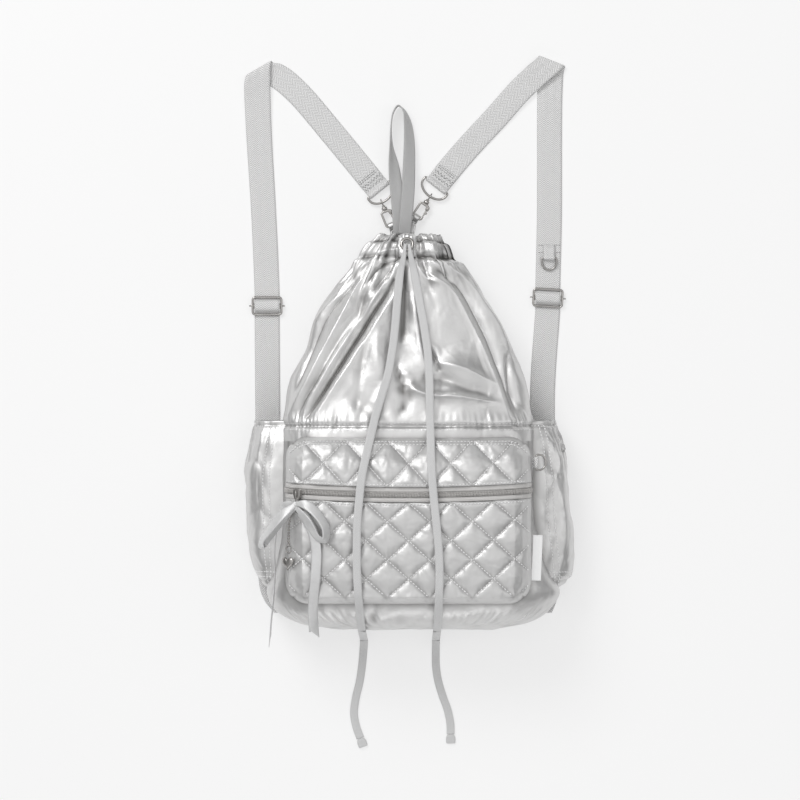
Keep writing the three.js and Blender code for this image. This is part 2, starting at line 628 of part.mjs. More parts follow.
// Depth of the collar's gathers and long folds at a place on the bag, outwards.
function foldAt(along, turn) {
  const gathers = tableAt(SECTIONS, "gather", along) * GATHER_DEPTH;
  const gather = gathers * Math.cos(2 * Math.PI * GATHER_COUNT * turn);
  const share = (along - SEAM_SHARE) / (1 - SEAM_SHARE);
  const folds = FOLDS.reduce((sum, fold) => {
    const off = (turn - THREE.MathUtils.lerp(fold.seam, fold.neck, share)) / fold.width;
    return sum + fold.depth * Math.exp(-off * off);
  }, 0);
  const flat = Math.max(0, -Math.sin(2 * Math.PI * turn));
  const placket = 1 - 0.8 * Math.exp(-(((turn - 0.25) / 0.03) ** 2));
  return (gather * placket + folds * FOLD_DEPTH * tableAt(SECTIONS, "fold", along)) * (1 - BACK_CALM * flat);
}

// A point of the bag's outer face. turn runs from the right side over the front to the left and the back.
function bagPoint(along, turn) {
  const section = (column) => tableAt(SECTIONS, column, along);
  const angle = 2 * Math.PI * turn;
  const cos = Math.cos(angle);
  const sin = Math.sin(angle);
  const loose = 1 - section("gather");
  const low = section("low") * BAG_DEPTH;
  const high = section("high") * BAG_DEPTH;
  const middle = low + (high - low) * BELLY_SHARE;
  const half = (cos >= 0 ? section("right") : section("left")) * (BAG_WIDTH / 2);
  const rise = sin >= 0 ? high - middle : middle - low + FLAT_SINK * loose;
  const power = 2 / (sin >= 0 ? FRONT_SQUARE : BACK_SQUARE);
  const x = half * Math.sign(cos) * Math.abs(cos) ** power;
  const z = rise * Math.sign(sin) * Math.abs(sin) ** power;
  const stretch = 1 + foldAt(along, turn) / Math.hypot(x, z);
  return v3(x * stretch, bagY(along), Math.max(low * loose, middle + z * stretch));
}

function bagRings(alongs, points) {
  return alongs.map((along) => Array.from({ length: points }, (_, j) => bagPoint(along, j / points)));
}

// The inner face of the bag's fabric. Where the bag is gathered it lies towards the section's middle.
function bagLining(rings, alongs) {
  const normals = gridNormals(rings, true);
  return rings.map((ring, i) => {
    const gather = tableAt(SECTIONS, "gather", alongs[i]);
    const middle = ring.reduce((sum, p) => sum.add(p), v3(0, 0, 0)).divideScalar(ring.length);
    return ring.map((p, j) => {
      const inwards = middle.clone().sub(p).normalize().multiplyScalar(gather * NECK_WALL);
      const straight = normals[i][j].clone().multiplyScalar((gather - 1) * FABRIC);
      return p.clone().add(inwards).add(straight);
    });
  });
}

// The fabric shell between some rings of the bag. The foot end may be closed.
function bagShell(alongs, points, closedFoot) {
  const rings = bagRings(alongs, points);
  const inner = bagLining(rings, alongs);
  const last = rings.length - 1;
  for (const i of closedFoot ? [last] : [0, last]) inner[i].forEach((p, j) => p.setY(rings[i][j].y));
  const surface = new Surface();
  surface.grid(rings, true, false);
  surface.grid(inner, true, true);
  surface.strip(rings[last], inner[last], true, false);
  if (closedFoot) {
    surface.fan(rings[0], false);
    surface.fan(inner[0], true);
  } else surface.strip(rings[0], inner[0], true, true);
  return solidOf(surface.geometry());
}

const aboveSeam = SECTIONS.filter((row) => row.along > SEAM_SHARE).map((row) => row.along);
const lowerAlongs = SECTIONS.filter((row) => row.along <= SEAM_SHARE).map((row) => row.along);
const collarAlongs = [SEAM_SHARE + CLEARANCE / BAG_LENGTH, ...aboveSeam];

// The whole bag as a solid, grown by the clearance: it cuts what is seated on the bag.
const grown = (alongs, points) => ringSolid(offsetGrid(bagRings(alongs, points), CLEARANCE, true));
const bagCutter = grown(lowerAlongs, LOWER_POINTS)
  .add(grown([SEAM_SHARE, ...aboveSeam], COLLAR_POINTS));

// The eyelet's frame: it lies on the placket at the front of the neck.
const neckAt = onBag(EYELET_PLACE, EYELET_PLACE.z * BAG_DEPTH);
const neckFrame = turned(neckAt.x, neckAt.y, neckAt.z, 0).multiply(
  new THREE.Matrix4().makeRotationX(radians(NECK_SLOPE)),
);

function bagBody() {
  const hole = moved(diskSolid(EYELET_INNER, 30, 16), neckFrame);
  addMesh("lower_bag", geometryOf(bagShell(lowerAlongs, LOWER_POINTS, true)), FABRIC_LOOK);
  const collar = bagShell(collarAlongs, COLLAR_POINTS, false);
  addMesh("drawstring_collar", geometryOf(collar.subtract(hole)), FABRIC_LOOK);
  const plate = boxSolid(NECK_TAB_WIDTH, NECK_TAB_LENGTH, NECK_TAB * 4, 0, 0, -NECK_TAB * 2);
  const placket = moved(plate, neckFrame).subtract(bagCutter).subtract(hole);
  addMesh("neck_placket", geometryOf(placket), FABRIC_LOOK);
  const ring = diskSolid(EYELET_OUTER, EYELET_THICKNESS, 20).subtract(diskSolid(EYELET_INNER, 30, 16));
  const lift = new THREE.Matrix4().makeTranslation(0, 0, EYELET_THICKNESS / 2 + CLEARANCE);
  addMesh("eyelet", geometryOf(moved(ring, neckFrame.clone().multiply(lift))), METAL_LOOK);
}

const pocketHalf = POCKET_WIDTH / 2;
const pocketMiddle = (POCKET_TOP_Y + POCKET_FOOT_Y) / 2;
const pocketHalfLength = (POCKET_TOP_Y - POCKET_FOOT_Y) / 2;
const zipEdge = ZIP_BAND / 2;

// Moves a place in the pocket's square corner onto concentric arcs of the rounded one.
function roundCorner(x, y) {
  const dx = Math.abs(x) - (pocketHalf - POCKET_CORNER);
  const dy = Math.abs(y) - (pocketHalfLength - POCKET_CORNER);
  if (dx <= 0 || dy <= 0) return [x, y];
  const scale = Math.max(dx, dy) / Math.hypot(dx, dy);
  return [
    Math.sign(x) * (pocketHalf - POCKET_CORNER + dx * scale),
    Math.sign(y) * (pocketHalfLength - POCKET_CORNER + dy * scale),
  ];
}

// Height of the pocket's face over the floor, before its quilting. drop: 0 on the face, 1 at the seat.
function pocketHeight(x, y, drop) {
  const across = Math.min(1, Math.abs(x) / pocketHalf);
  const up = THREE.MathUtils.clamp((y - ZIP_Y) / (POCKET_TOP_Y - ZIP_Y), 0, 1);
  const down = THREE.MathUtils.clamp((ZIP_Y - y) / (ZIP_Y - POCKET_FOOT_Y), 0, 1);
  const share = 1 - 0.3 * across ** 4 - 0.85 * up ** 2 - 0.16 * down ** 3;
  const face = BAG_DEPTH + POCKET_RISE * share;
  return THREE.MathUtils.lerp(face, BAG_DEPTH * 0.55, drop);
}

// Columns across the pocket: the seat, the wall, the shoulder and the stitched diamonds between.
function pocketColumns() {
  const face = pocketHalf * POCKET_FACE_SHARE;
  const count = Math.round(face / QUILT_HALF_WIDTH);
  const columns = [];
  for (let k = -count; k <= count; k++) columns.push({ x: (k / count) * face, drop: 0, k });
  const wall = [
    { share: 0.975, drop: 0.12 },
    { share: 1.01, drop: 0.45 },
    { share: 0.985, drop: 1 },
  ];
  const right = wall.map(({ share, drop }) => ({ x: share * pocketHalf, drop, k: null }));
  const left = [...right].reverse().map(({ x, drop }) => ({ x: -x, drop, k: null }));
  return [...left, ...columns, ...right];
}

// One quilted panel between the zip and the pocket's top or foot.
function quiltedPanel(sign, steps, odd) {
  const from = ZIP_Y + sign * zipEdge;
  const end = sign > 0 ? POCKET_TOP_Y : POCKET_FOOT_Y;
  const face = Math.abs(end - from) * 0.93;
  const rows = [];
  for (let k = 0; k <= steps; k++) rows.push({ y: from + (sign * face * k) / steps, drop: 0, k });
  rows.push({ y: end - sign * 0.015 * POCKET_WIDTH, drop: 0.12, k: null });
  rows.push({ y: end + sign * 0.004 * POCKET_WIDTH, drop: 0.5, k: null });
  rows.push({ y: end - sign * 0.008 * POCKET_WIDTH, drop: 1, k: null });
  const columns = pocketColumns();
  const grid = rows.map((row) =>
    columns.map((column) => {
      const drop = Math.max(row.drop, column.drop);
      const [x, y] = roundCorner(column.x, row.y - pocketMiddle);
      const bow = ZIP_BOW * (x / pocketHalf) ** 2 * (1 - Math.abs(row.y - from) / Math.abs(end - from));
      const centre = row.k !== null && column.k !== null && (row.k + column.k + odd) % 2 !== 0;
      const inner = row.k > 0 && row.k < steps;
      const puff = centre ? QUILT_PUFF * (inner ? 1 : 0.35) : 0;
      const place = y + pocketMiddle + bow;
      return v3(POCKET_X + x, place, pocketHeight(x, y + pocketMiddle, drop) + puff);
    }),
  );
  if (sign > 0) grid.forEach((row) => row.reverse());
  const creased = (i, j) => {
    const column = columns[sign > 0 ? columns.length - 2 - j : j].k ?? 0;
    const here = i + column + odd + (sign > 0 ? 1 : 0);
    return Math.abs(here) % 2 === 0;
  };
  return sheetSolid(grid, PADDING, [0], creased).subtract(bagCutter);
}

// A band that follows the pocket's face across the zip, from one offset of the zip's line to another.
function zipBand(fromY, toY, recess, thickness) {
  const columns = pocketColumns();
  const grid = [fromY, toY].map((off) =>
    columns.map((column) => {
      const bow = ZIP_BOW * (column.x / pocketHalf) ** 2;
      const z = pocketHeight(column.x, ZIP_Y, column.drop) - recess;
      return v3(POCKET_X + column.x, ZIP_Y + off + bow, z);
    }),
  );
  return sheetSolid(grid, thickness, [0, 1]);
}

function frontPocket() {
  addMesh("pocket_upper_panel", geometryOf(quiltedPanel(1, 2, 1)), FABRIC_LOOK);
  addMesh("pocket_lower_panel", geometryOf(quiltedPanel(-1, 5, 0)), FABRIC_LOOK);
  const tapeOuter = zipEdge - CLEARANCE;
  const coilHalf = ZIP_COIL_WIDTH / 2;
  const tapes = [
    ["zip_tape_upper", coilHalf + CLEARANCE, tapeOuter],
    ["zip_tape_lower", -tapeOuter, -coilHalf - CLEARANCE],
  ];
  for (const [name, from, to] of tapes) {
    const band = zipBand(to, from, ZIP_RECESS, ZIP_TAPE);
    addMesh(name, geometryOf(band.subtract(bagCutter)), ZIP_LOOK);
  }
  const coil = zipBand(coilHalf, -coilHalf, ZIP_RECESS - ZIP_COIL_RISE, ZIP_COIL_HEIGHT);
  addMesh("zip_coil", geometryOf(coil.subtract(bagCutter)), ZIP_LOOK);
}

// Half of an arc round the side of the bag for one side pocket. side is -1 on the left and 1 on the right.
function sidePocket(side) {
  const steps = 10;
  const key = side < 0 ? "left" : "right";
  const grid = SIDE_SECTIONS.map((row) => {
    const y = THREE.MathUtils.lerp(SIDE_FOOT_Y, SIDE_MOUTH_Y, row.along);
    const along = y / BAG_LENGTH + ORIGIN_SHARE;
    const seat = tableAt(SECTIONS, key, along) * (BAG_WIDTH / 2) * SIDE_SEAT;
    const out = row[key] * SIDE_REACH;
    const top = row.top * BAG_DEPTH;
    const low = SIDE_LIFT + row.low * BAG_DEPTH;
    const middle = low + (top - low) * 0.42;
    return Array.from({ length: steps + 1 }, (_, k) => {
      const angle = radians(90 - (180 * k) / steps);
      const wave = k % 2 === 0 ? 1 : -1;
      const ease = Math.sin((Math.PI * k) / steps);
      const reach = out - seat + row.gather * SIDE_GATHER * wave * ease;
      const x = seat + reach * Math.cos(angle) ** 0.62;
      const rise = angle >= 0 ? top - middle : middle - low;
      return v3(side * x, y, middle + rise * Math.sign(angle) * Math.abs(Math.sin(angle)) ** 0.8);
    });
  });
  if (side > 0) grid.forEach((row) => row.reverse());
  return sheetSolid(grid, SIDE_FABRIC).subtract(bagCutter);
}

// The rows of a strap where it runs over its adjuster's bar.
function overBar(slider) {
  const top = SLIDER_Z + SLIDER_BAR_THICKNESS / 2;
  const at = onBag(slider, 0);
  return OVER_BAR.map(({ off, rise }) => ({
    x: at.x, y: at.y + off * SLIDER_HEIGHT, z: rise * top, across: slider.turn, spread: 1,
  }));
}

// Rows of a strap along its route table, with long steps divided on a smooth curve.
function strapRows(table) {
  const route = table.flatMap((row) => {
    if (row.bar) return overBar(row.bar);
    const { x, y, z } = onBag(row, row.z * WEB);
    return [{ x, y, z, across: row.across, spread: row.spread }];
  });
  const curve = new THREE.CatmullRomCurve3(route.map(({ x, y, z }) => v3(x, y, z)), false, "centripetal");
  const rows = [];
  route.slice(1).forEach((next, i) => {
    const length = Math.hypot(next.x - route[i].x, next.y - route[i].y);
    const parts = Math.max(1, Math.round(length / STRAP_STEP));
    for (let k = 0; k < parts; k++) rows.push({ i, share: k / parts });
  });
  rows.push({ i: route.length - 2, share: 1 });
  return rows.map(({ i, share }) => {
    const between = (column) => THREE.MathUtils.lerp(route[i][column], route[i + 1][column], share);
    const at = v3(between("x"), between("y"), between("z"));
    if (share > 0 && share < 1) at.lerp(curve.getPoint((i + share) / (route.length - 1)).setZ(at.z), 0.7);
    return { at: at.setZ(at.z + WEB / 2), across: between("across"), spread: between("spread") };
  });
}

// A sheet with the given middle surface.
function clothSolid(middle, thickness) {
  const top = offsetGrid(middle, thickness / 2, false);
  const under = offsetGrid(middle, -thickness / 2, false);
  const surface = new Surface();
  const last = middle[0].length - 1;
  const side = (rows, j) => rows.map((row) => row[j]);
  surface.grid(top, false, false);
  surface.grid(under, false, true);
  surface.strip(top[0], under[0], false, true);
  surface.strip(top[top.length - 1], under[under.length - 1], false, false);
  surface.strip(side(top, 0), side(under, 0), false, false);
  surface.strip(side(top, last), side(under, last), false, true);
  return solidOf(surface.geometry());
}

// The end of a strip sewn back round a bar along the second axis. centre: height of the tail's middle.
function eyeSolid(width, tail, hole, layer, centre) {
  const outer = hole + layer;
  const low = Math.max(-outer, centre - layer);
  const high = centre + layer;
  const shape = new THREE.Shape();
  shape.moveTo(-tail, high);
  shape.lineTo(-tail, low);
  shape.absarc(0, 0, outer, Math.PI - Math.asin(low / outer), 3 * Math.PI - Math.asin(high / outer), false);
  shape.closePath();
  shape.holes.push(new THREE.Path().absarc(0, 0, hole, 0, 2 * Math.PI, true));
  return moved(plateSolid(shape, width, 7), new THREE.Matrix4().makeRotationX(Math.PI / 2));
}

// Size of a ring's round part: its corners and how far it bulges.
function ringCurve(width, height, wire) {
  const corner = 1.6;
  return { half: width / 2 - wire / 2, corner, bulge: height - wire - 2 * corner };
}

// A ring with one straight side along the second axis, bulging to the first.
function ringSolidD(width, height, wire) {
  const { half, corner, bulge } = ringCurve(width, height, wire);
  const path = [new THREE.Vector2(0, -half + corner), new THREE.Vector2(0, half - corner)];
  path.push(new THREE.Vector2(corner, half));
  for (let k = 0; k <= RING_STEPS; k++) {
    const angle = Math.PI / 2 - (Math.PI * k) / RING_STEPS;
    path.push(new THREE.Vector2(corner * 2 + bulge * Math.cos(angle), half * Math.sin(angle)));
  }
  path.push(new THREE.Vector2(corner, -half));
  return closedWire(path, wire / 2, WIRE_SIDES);
}

// The frame of the hook that hangs on a ring's round side, turned from the ring's own way.
function hookFrame(ring) {
  const { half, corner, bulge } = ringCurve(WEB_WIDTH + 2 * WIRE + 1, BIG_RING_HEIGHT, WIRE);
  const angle = Math.atan(Math.tan(radians(ring.hook)) * (half / bulge));
  const local = v3(corner * 2 + bulge * Math.cos(angle), half * Math.sin(angle), 0);
  const bar = onBag(ring, 0);
  const at = local.applyMatrix4(turned(bar.x, bar.y, 0, ring.heading));
  return turned(at.x, at.y, HOOK_Z, ring.heading + ring.hook);
}

// The adjuster's frame, with its middle bar and the bar's two tips.
function sliderSolid() {
  const x = SLIDER_WIDTH / 2 - SLIDER_WIRE / 2;
  const y = SLIDER_HEIGHT / 2 - SLIDER_WIRE / 2;
  const corner = 2;
  const path = [];
  for (const [sx, sy] of [[1, 1], [1, -1], [-1, -1], [-1, 1]]) {
    const turn = [[x - corner, y], [x, y - corner]].map(([px, py]) => [sx * px, sy * py]);
    if (sx !== sy) turn.reverse();
    path.push(...turn.map(([px, py]) => new THREE.Vector2(px, py)));
  }
  const reach = SLIDER_WIDTH / 2 + SLIDER_TIP;
  const bar = boxSolid(2 * x, SLIDER_BAR, SLIDER_BAR_THICKNESS, 0, 0, 0);
  const tips = barSolid(PIVOT_RADIUS + 0.3, -reach, reach, 8);
  return closedWire(path, SLIDER_WIRE / 2, WIRE_SIDES).add(bar).add(tips);
}

function strap(side, route, ring, slider) {
  const rows = strapRows(route);
  const middle = rows.map(({ at, across, spread }) => {
    const reach = v3(Math.cos(radians(across)), Math.sin(radians(across)), 0);
    const half = (WEB_WIDTH / 2) * spread;
    return [at.clone().addScaledVector(reach, half), at.clone().addScaledVector(reach, -half)];
  });
  const hole = WIRE / 2 + CLEARANCE;
  const centre = WEB - (hole + WEB);
  const eye = eyeSolid(WEB_WIDTH - 0.6, EYE_TAIL, hole, WEB, centre);
  const bar = onBag(ring, hole + WEB + LIFT);
  const eyeFrame = turned(bar.x, bar.y, bar.z, ring.heading);
  const webbing = clothSolid(middle, WEB).subtract(bagCutter).add(moved(eye, eyeFrame));
  addMesh(`strap_${side}`, geometryOf(webbing), WEB_LOOK);
  const dRing = ringSolidD(WEB_WIDTH + 2 * WIRE + 1, BIG_RING_HEIGHT, WIRE);
  addMesh(`strap_ring_${side}`, geometryOf(moved(dRing, eyeFrame)), METAL_LOOK);
  const middleBar = onBag(slider, SLIDER_Z);
  const sliderFrame = turned(middleBar.x, middleBar.y, middleBar.z, slider.turn);
  addMesh(`adjuster_${side}`, geometryOf(moved(sliderSolid(), sliderFrame)), METAL_LOOK);
}

// A snap hook along the first axis, with its eye round a wire at the start and a slot for the gate's hub.
function hookSolid() {
  const upright = new THREE.Matrix4().makeRotationX(Math.PI / 2);
  const eye = moved(diskSolid(EYE_RADIUS, EYE_WIDTH, 14), upright);
  const hole = moved(diskSolid(EYE_HOLE, EYE_WIDTH * 2, 14), upright);
  const barrel = barSolid(BARREL_RADIUS, EYE_RADIUS - 0.4, HOOK_BASE + 0.5, 10);
  const half = HOOK_HALF_WIDTH;
  const inner = half - HOOK_BAR;
  const far = HOOK_LENGTH - HOOK_BAR;
  const outline = [
    [HOOK_BASE, -BARREL_RADIUS], [10, -half], [HOOK_LENGTH - 2, -half], [HOOK_LENGTH, -half + 2],
    [HOOK_LENGTH, half - 2], [HOOK_LENGTH - 2, half], [HOOK_MOUTH_TO, half], [HOOK_MOUTH_TO, inner],
    [far - 0.5, inner], [far, inner - 0.5], [far, -inner + 0.5], [far - 0.5, -inner], [11.4, -inner],
    [10.8, -inner + 0.6], [10.8, 2.4], [HOOK_MOUTH_FROM, 2.8], [HOOK_MOUTH_FROM, half + 0.6],
    [10, half + 0.6], [HOOK_BASE, BARREL_RADIUS],
  ];
  const shape = new THREE.Shape(outline.map(([x, y]) => new THREE.Vector2(x, y)));
  const plate = plateSolid(shape, HOOK_THICKNESS);
  const slot = boxSolid(8, 6, GATE_THICKNESS + 2 * CLEARANCE, GATE_PIVOT + 1.7, 5.2, 0);
  const pin = diskSolid(PIVOT_RADIUS, HOOK_THICKNESS, 10);
  const pivot = new THREE.Matrix4().makeTranslation(GATE_PIVOT, half - HOOK_BAR / 2, 0);
  return eye.subtract(hole).add(barrel).add(plate).subtract(slot).add(moved(pin, pivot));
}

// The lever that closes a hook, from its hub on the pin to the hook's tip.
function gateSolid() {
  const y = HOOK_HALF_WIDTH - HOOK_BAR / 2;
  const pivot = new THREE.Matrix4().makeTranslation(GATE_PIVOT, y, 0);
  const hub = moved(diskSolid(HUB_RADIUS, GATE_THICKNESS, 12), pivot);
  const length = HOOK_MOUTH_TO - CLEARANCE - GATE_PIVOT;
  const arm = boxSolid(length, GATE_ARM, GATE_THICKNESS, GATE_PIVOT + length / 2, y, 0);
  const thumbX = GATE_PIVOT + length / 2 + 1;
  const thumb = boxSolid(2.4, 1.4, GATE_THICKNESS, thumbX, y + GATE_ARM / 2 + 0.6, 0);
  const bore = diskSolid(PIVOT_RADIUS + CLEARANCE, GATE_THICKNESS * 3, 10);
  return hub.add(arm).add(thumb).subtract(moved(bore, pivot));
}

// Frames of a flat strip along a route, turned about its own run by each row's tilt.
function stripFrames(rows, perStep) {
  const curve = new THREE.CatmullRomCurve3(rows.map(({ x, y, z }) => v3(x, y, z)), false, "centripetal");
  const count = (rows.length - 1) * perStep;
  return Array.from({ length: count + 1 }, (_, k) => {
    const at = curve.getPoint(k / count);
    const run = curve.getTangent(k / count).normalize();
    const i = Math.min(rows.length - 2, Math.floor(k / perStep));
    const tilt = THREE.MathUtils.lerp(rows[i].tilt, rows[i + 1].tilt, k / perStep - i);
    const level = v3(-run.y, run.x, 0).normalize();
    const side = level.applyAxisAngle(run, radians(tilt));
    return { at, side, up: run.clone().cross(side).normalize() };
  });
}

// A rectangular section.
const flatSection = (width, height) =>
  [[1, 1], [-1, 1], [-1, -1], [1, -1]].map(([s, u]) => [(s * width) / 2, (u * height) / 2]);

// A fabric loop that a hook holds: its eye round the hook's bar and its run to the neck.
function hookLoop(frame, route) {
  const far = HOOK_LENGTH - HOOK_BAR / 2;
  const eye = eyeSolid(LOOP_WIDTH, LOOP_HOLE + LOOP_FABRIC * 3.4, LOOP_HOLE, LOOP_FABRIC, 0);
  const back = turned(far, 0, 0, 180);
  const from = far + LOOP_HOLE;
  const onHook = [2.4, 4.4].map((layers) => v3(from + LOOP_FABRIC * layers, 0, 0).applyMatrix4(frame));
  const toNeck = route.map((row) => onBag(row, row.z * BAG_DEPTH));
  const rows = [...onHook, ...toNeck].map(({ x, y, z }) => ({ x, y, z, tilt: 0 }));
  const run = sweepSolid(stripFrames(rows, 2), flatSection(LOOP_WIDTH - 0.2, LOOP_FABRIC * 2 - 0.2));
  return moved(eye, frame.clone().multiply(back)).add(run).subtract(bagCutter);
}

function hooks() {
  for (const [side, ring, route] of [["left", RING_LEFT, LOOP_LEFT], ["right", RING_RIGHT, LOOP_RIGHT]]) {
    const frame = hookFrame(ring);
    addMesh(`snap_hook_${side}`, geometryOf(moved(hookSolid(), frame)), METAL_LOOK);
    addMesh(`snap_gate_${side}`, geometryOf(moved(gateSolid(), frame)), METAL_LOOK);
    addMesh(`hook_loop_${side}`, geometryOf(hookLoop(frame, route)), FABRIC_LOOK);
  }
}

// The small ring on the right strap, and the tab that holds it.
function smallRing(name, frame) {
  const hole = SMALL_WIRE / 2 + CLEARANCE;
  const eye = eyeSolid(SMALL_TAB_WIDTH, SMALL_TAB_TAIL, hole, SMALL_TAB, SMALL_TAB - (hole + SMALL_TAB));
  addMesh(`${name}_tab`, geometryOf(moved(eye, frame)), WEB_LOOK);
  const ring = ringSolidD(SMALL_RING_WIDTH, SMALL_RING_HEIGHT, SMALL_WIRE);
  const dip = frame.clone().multiply(new THREE.Matrix4().makeRotationY(radians(SMALL_RING_DIP)));
  addMesh(name, geometryOf(moved(ring, dip)), METAL_LOOK);
}

function smallRings() {
  const z = WEB + CLEARANCE + SMALL_WIRE / 2 + CLEARANCE + SMALL_TAB;
  const onStrap = onBag(SMALL_RING_PLACE, z);
  smallRing("strap_small_ring", turned(onStrap.x, onStrap.y, onStrap.z, -90));
  const { out, below, height, lean } = SIDE_RING_PLACE;
  const place = v3(POCKET_X + pocketHalf + out, POCKET_TOP_Y - below, height * BAG_DEPTH);
  const frame = leaning(place, lean);
  const hole = SMALL_WIRE / 2 + CLEARANCE;
  const eye = eyeSolid(SMALL_TAB_WIDTH, SIDE_TAB_TAIL, hole, SMALL_TAB, 0);
  addMesh("side_ring_tab", geometryOf(moved(eye, frame)), WEB_LOOK);
  const ring = ringSolidD(SMALL_RING_WIDTH, SIDE_RING_HEIGHT, SMALL_WIRE);
  addMesh("side_ring", geometryOf(moved(ring, frame)), METAL_LOOK);
}

function label() {
  const { out, above, height, lean, turn } = LABEL_PLACE;
  const place = v3(POCKET_X + pocketHalf + out, POCKET_FOOT_Y + above, height * BAG_DEPTH);
  const frame = leaning(place, lean, turn);
  const plate = boxSolid(LABEL_WIDTH / Math.cos(radians(lean)), LABEL_LENGTH, LABEL_THICKNESS, 0, 0, 0);
  addMesh("side_label", geometryOf(moved(plate, frame)), LABEL_LOOK);
}

// One free end of the drawcord, with the folded piece that ends it.
function drawcord(side, route) {
  const points = route.map((p) => v3(...p));
  const last = points.length - 1;
  const frames = points.map((at, i) => {
    const run = points[Math.min(last, i + 1)].clone().sub(points[Math.max(0, i - 1)]).normalize();
    const across = v3(-run.y, run.x, 0).normalize();
    const side = i < 2 ? v3(-1, 0, 0) : across;
    return { at, side, up: run.clone().cross(side).normalize() };
  });
  const rings = frames.map(({ at, side: across, up }, i) => {
    const width = i < 3 ? CORD_BUNCHED : Math.min(CORD_WIDTH, CORD_BUNCHED + (i - 2) * 2);
    return ovalSection(width, CORD_THICKNESS, CORD_SIDES).map(([s, u]) =>
      at.clone().addScaledVector(across, s).addScaledVector(up, u),
    );
  });
  addMesh(`drawcord_${side}`, geometryOf(ringSolid(rings)), CORD_LOOK);
  const end = points[last];
  const run = end.clone().sub(points[last - 1]).normalize();
  const across = v3(-run.y, run.x, 0);
  const knot = [0, 0.3, 0.72, 1].map((share, i) => {
    const swell = [0.72, 1, 1, 0.8][i];
    const at = end.clone().addScaledVector(run, CLEARANCE + share * CORD_END_LENGTH);
    at.setZ(CORD_END_THICKNESS / 2);
    return { at, side: across.clone().multiplyScalar(swell), up: v3(0, 0, 1) };
  });
  const piece = sweepSolid(knot, ovalSection(CORD_END_WIDTH, CORD_END_THICKNESS, CORD_SIDES));
  addMesh(`cord_end_${side}`, geometryOf(piece), CORD_LOOK);
}

// Where the zip's slider rests. All that hangs on it is placed from here.
const zipEnd = v3(
  POCKET_X + ZIP_END.across * pocketHalf,
  ZIP_Y + ZIP_END.ahead,
  pocketHeight(ZIP_END.across * pocketHalf, ZIP_Y, 0) + ZIP_END.lift,
);
const fromZip = (row) => v3(row.x, row.y, row.z).multiplyScalar(RIBBON_WIDTH).add(zipEnd);

// The zip's slider with its pull, and the ribbon bow tied on the pull.
function bow() {
  const frame = leaning(zipEnd, ZIP_END.lean);
  const body = boxSolid(ZIP_SLIDER_WIDTH, ZIP_SLIDER_LENGTH, ZIP_SLIDER_HEIGHT, 0, 0, 0);
  const pull = (grow) => boxSolid(2.6 + grow, 12 + grow, 1.2 + grow, 0, -ZIP_SLIDER_LENGTH / 2 - 4, 1.2);
  addMesh("zip_slider", geometryOf(moved(body.add(pull(0)), frame)), METAL_LOOK);
  const knot = new THREE.SphereGeometry(KNOT_SIZE / 2, 8, 6);
  knot.scale(1, 1, 0.8);
  const ribbon = flatSection(RIBBON_WIDTH, RIBBON);
  const strip = (rows) => {
    const route = rows.map((row) => ({ ...fromZip(row), tilt: row.tilt }));
    return sweepSolid(stripFrames(route, 2), ribbon);
  };
  const knotSolid = moved(solidOf(knot), leaning(fromZip(KNOT_PLACE), 0));
  const loops = BOW_LOOPS.reduce((sum, rows) => sum.add(strip(rows)), knotSolid);
  addMesh("bow", geometryOf(loops.subtract(moved(pull(2 * CLEARANCE), frame))), RIBBON_LOOK);
  ["left", "right"].forEach((side, i) => {
    addMesh(`bow_tail_${side}`, geometryOf(strip(BOW_TAILS[i])), RIBBON_LOOK);
  });
}

// The ball chain on the zip's slider, its jump ring and the puffed heart.
function charm() {
  const curve = new THREE.CatmullRomCurve3(CHAIN_ROUTE.map(fromZip));
  const rings = [];
  for (let k = 0; k <= 2 * BEADS; k++) {
    const at = curve.getPointAt(k / (2 * BEADS));
    const run = curve.getTangentAt(k / (2 * BEADS));
    const across = v3(-run.y, run.x, 0).normalize();
    const up = run.clone().cross(across);
    const size = k % 2 ? BEAD : BEAD * 0.4;
    const section = ovalSection(size, size, 5);
    rings.push(section.map(([s, u]) => at.clone().addScaledVector(across, s).addScaledVector(up, u)));
  }
  addMesh("charm_chain", geometryOf(ringSolid(rings)), METAL_LOOK);
  const ringPlace = curve.getPointAt(1).add(v3(-0.1, -CHARM_REACH, 0.2));
  const circle = Array.from({ length: 10 }, (_, k) => {
    const angle = (-2 * Math.PI * k) / 10;
    return new THREE.Vector2((JUMP_RING / 2) * Math.cos(angle), (JUMP_RING / 2) * Math.sin(angle));
  });
  const ring = moved(closedWire(circle, 0.6, 5), leaning(ringPlace, CHARM_LEAN));
  addMesh("charm_ring", geometryOf(ring), METAL_LOOK);
  const rows = [1, 0.86, 0.45].map((share, i) => {
    const height = [0, 0.62, 1][i] * (HEART_THICKNESS / 2);
    const size = (share * HEART_WIDTH) / 2;
    return Array.from({ length: 16 }, (_, k) => {
      const t = (2 * Math.PI * (k + 0.5)) / 16;
      const py = (13 * Math.cos(t) - 5 * Math.cos(2 * t) - 2 * Math.cos(3 * t) - Math.cos(4 * t)) / 16;
      return v3(Math.sin(t) ** 3 * size, py * size, height);
    });
  });
  const under = rows.slice(1).reverse().map((row) => row.map((p) => v3(p.x, p.y, -p.z)));
  const heartPlace = ringPlace.clone().add(v3(-HEART_DROP, -HEART_REACH, -HEART_DROP));
  const heart = moved(ringSolid([...under, ...rows]), leaning(heartPlace, CHARM_LEAN));
  addMesh("charm_heart", geometryOf(heart), METAL_LOOK);
}

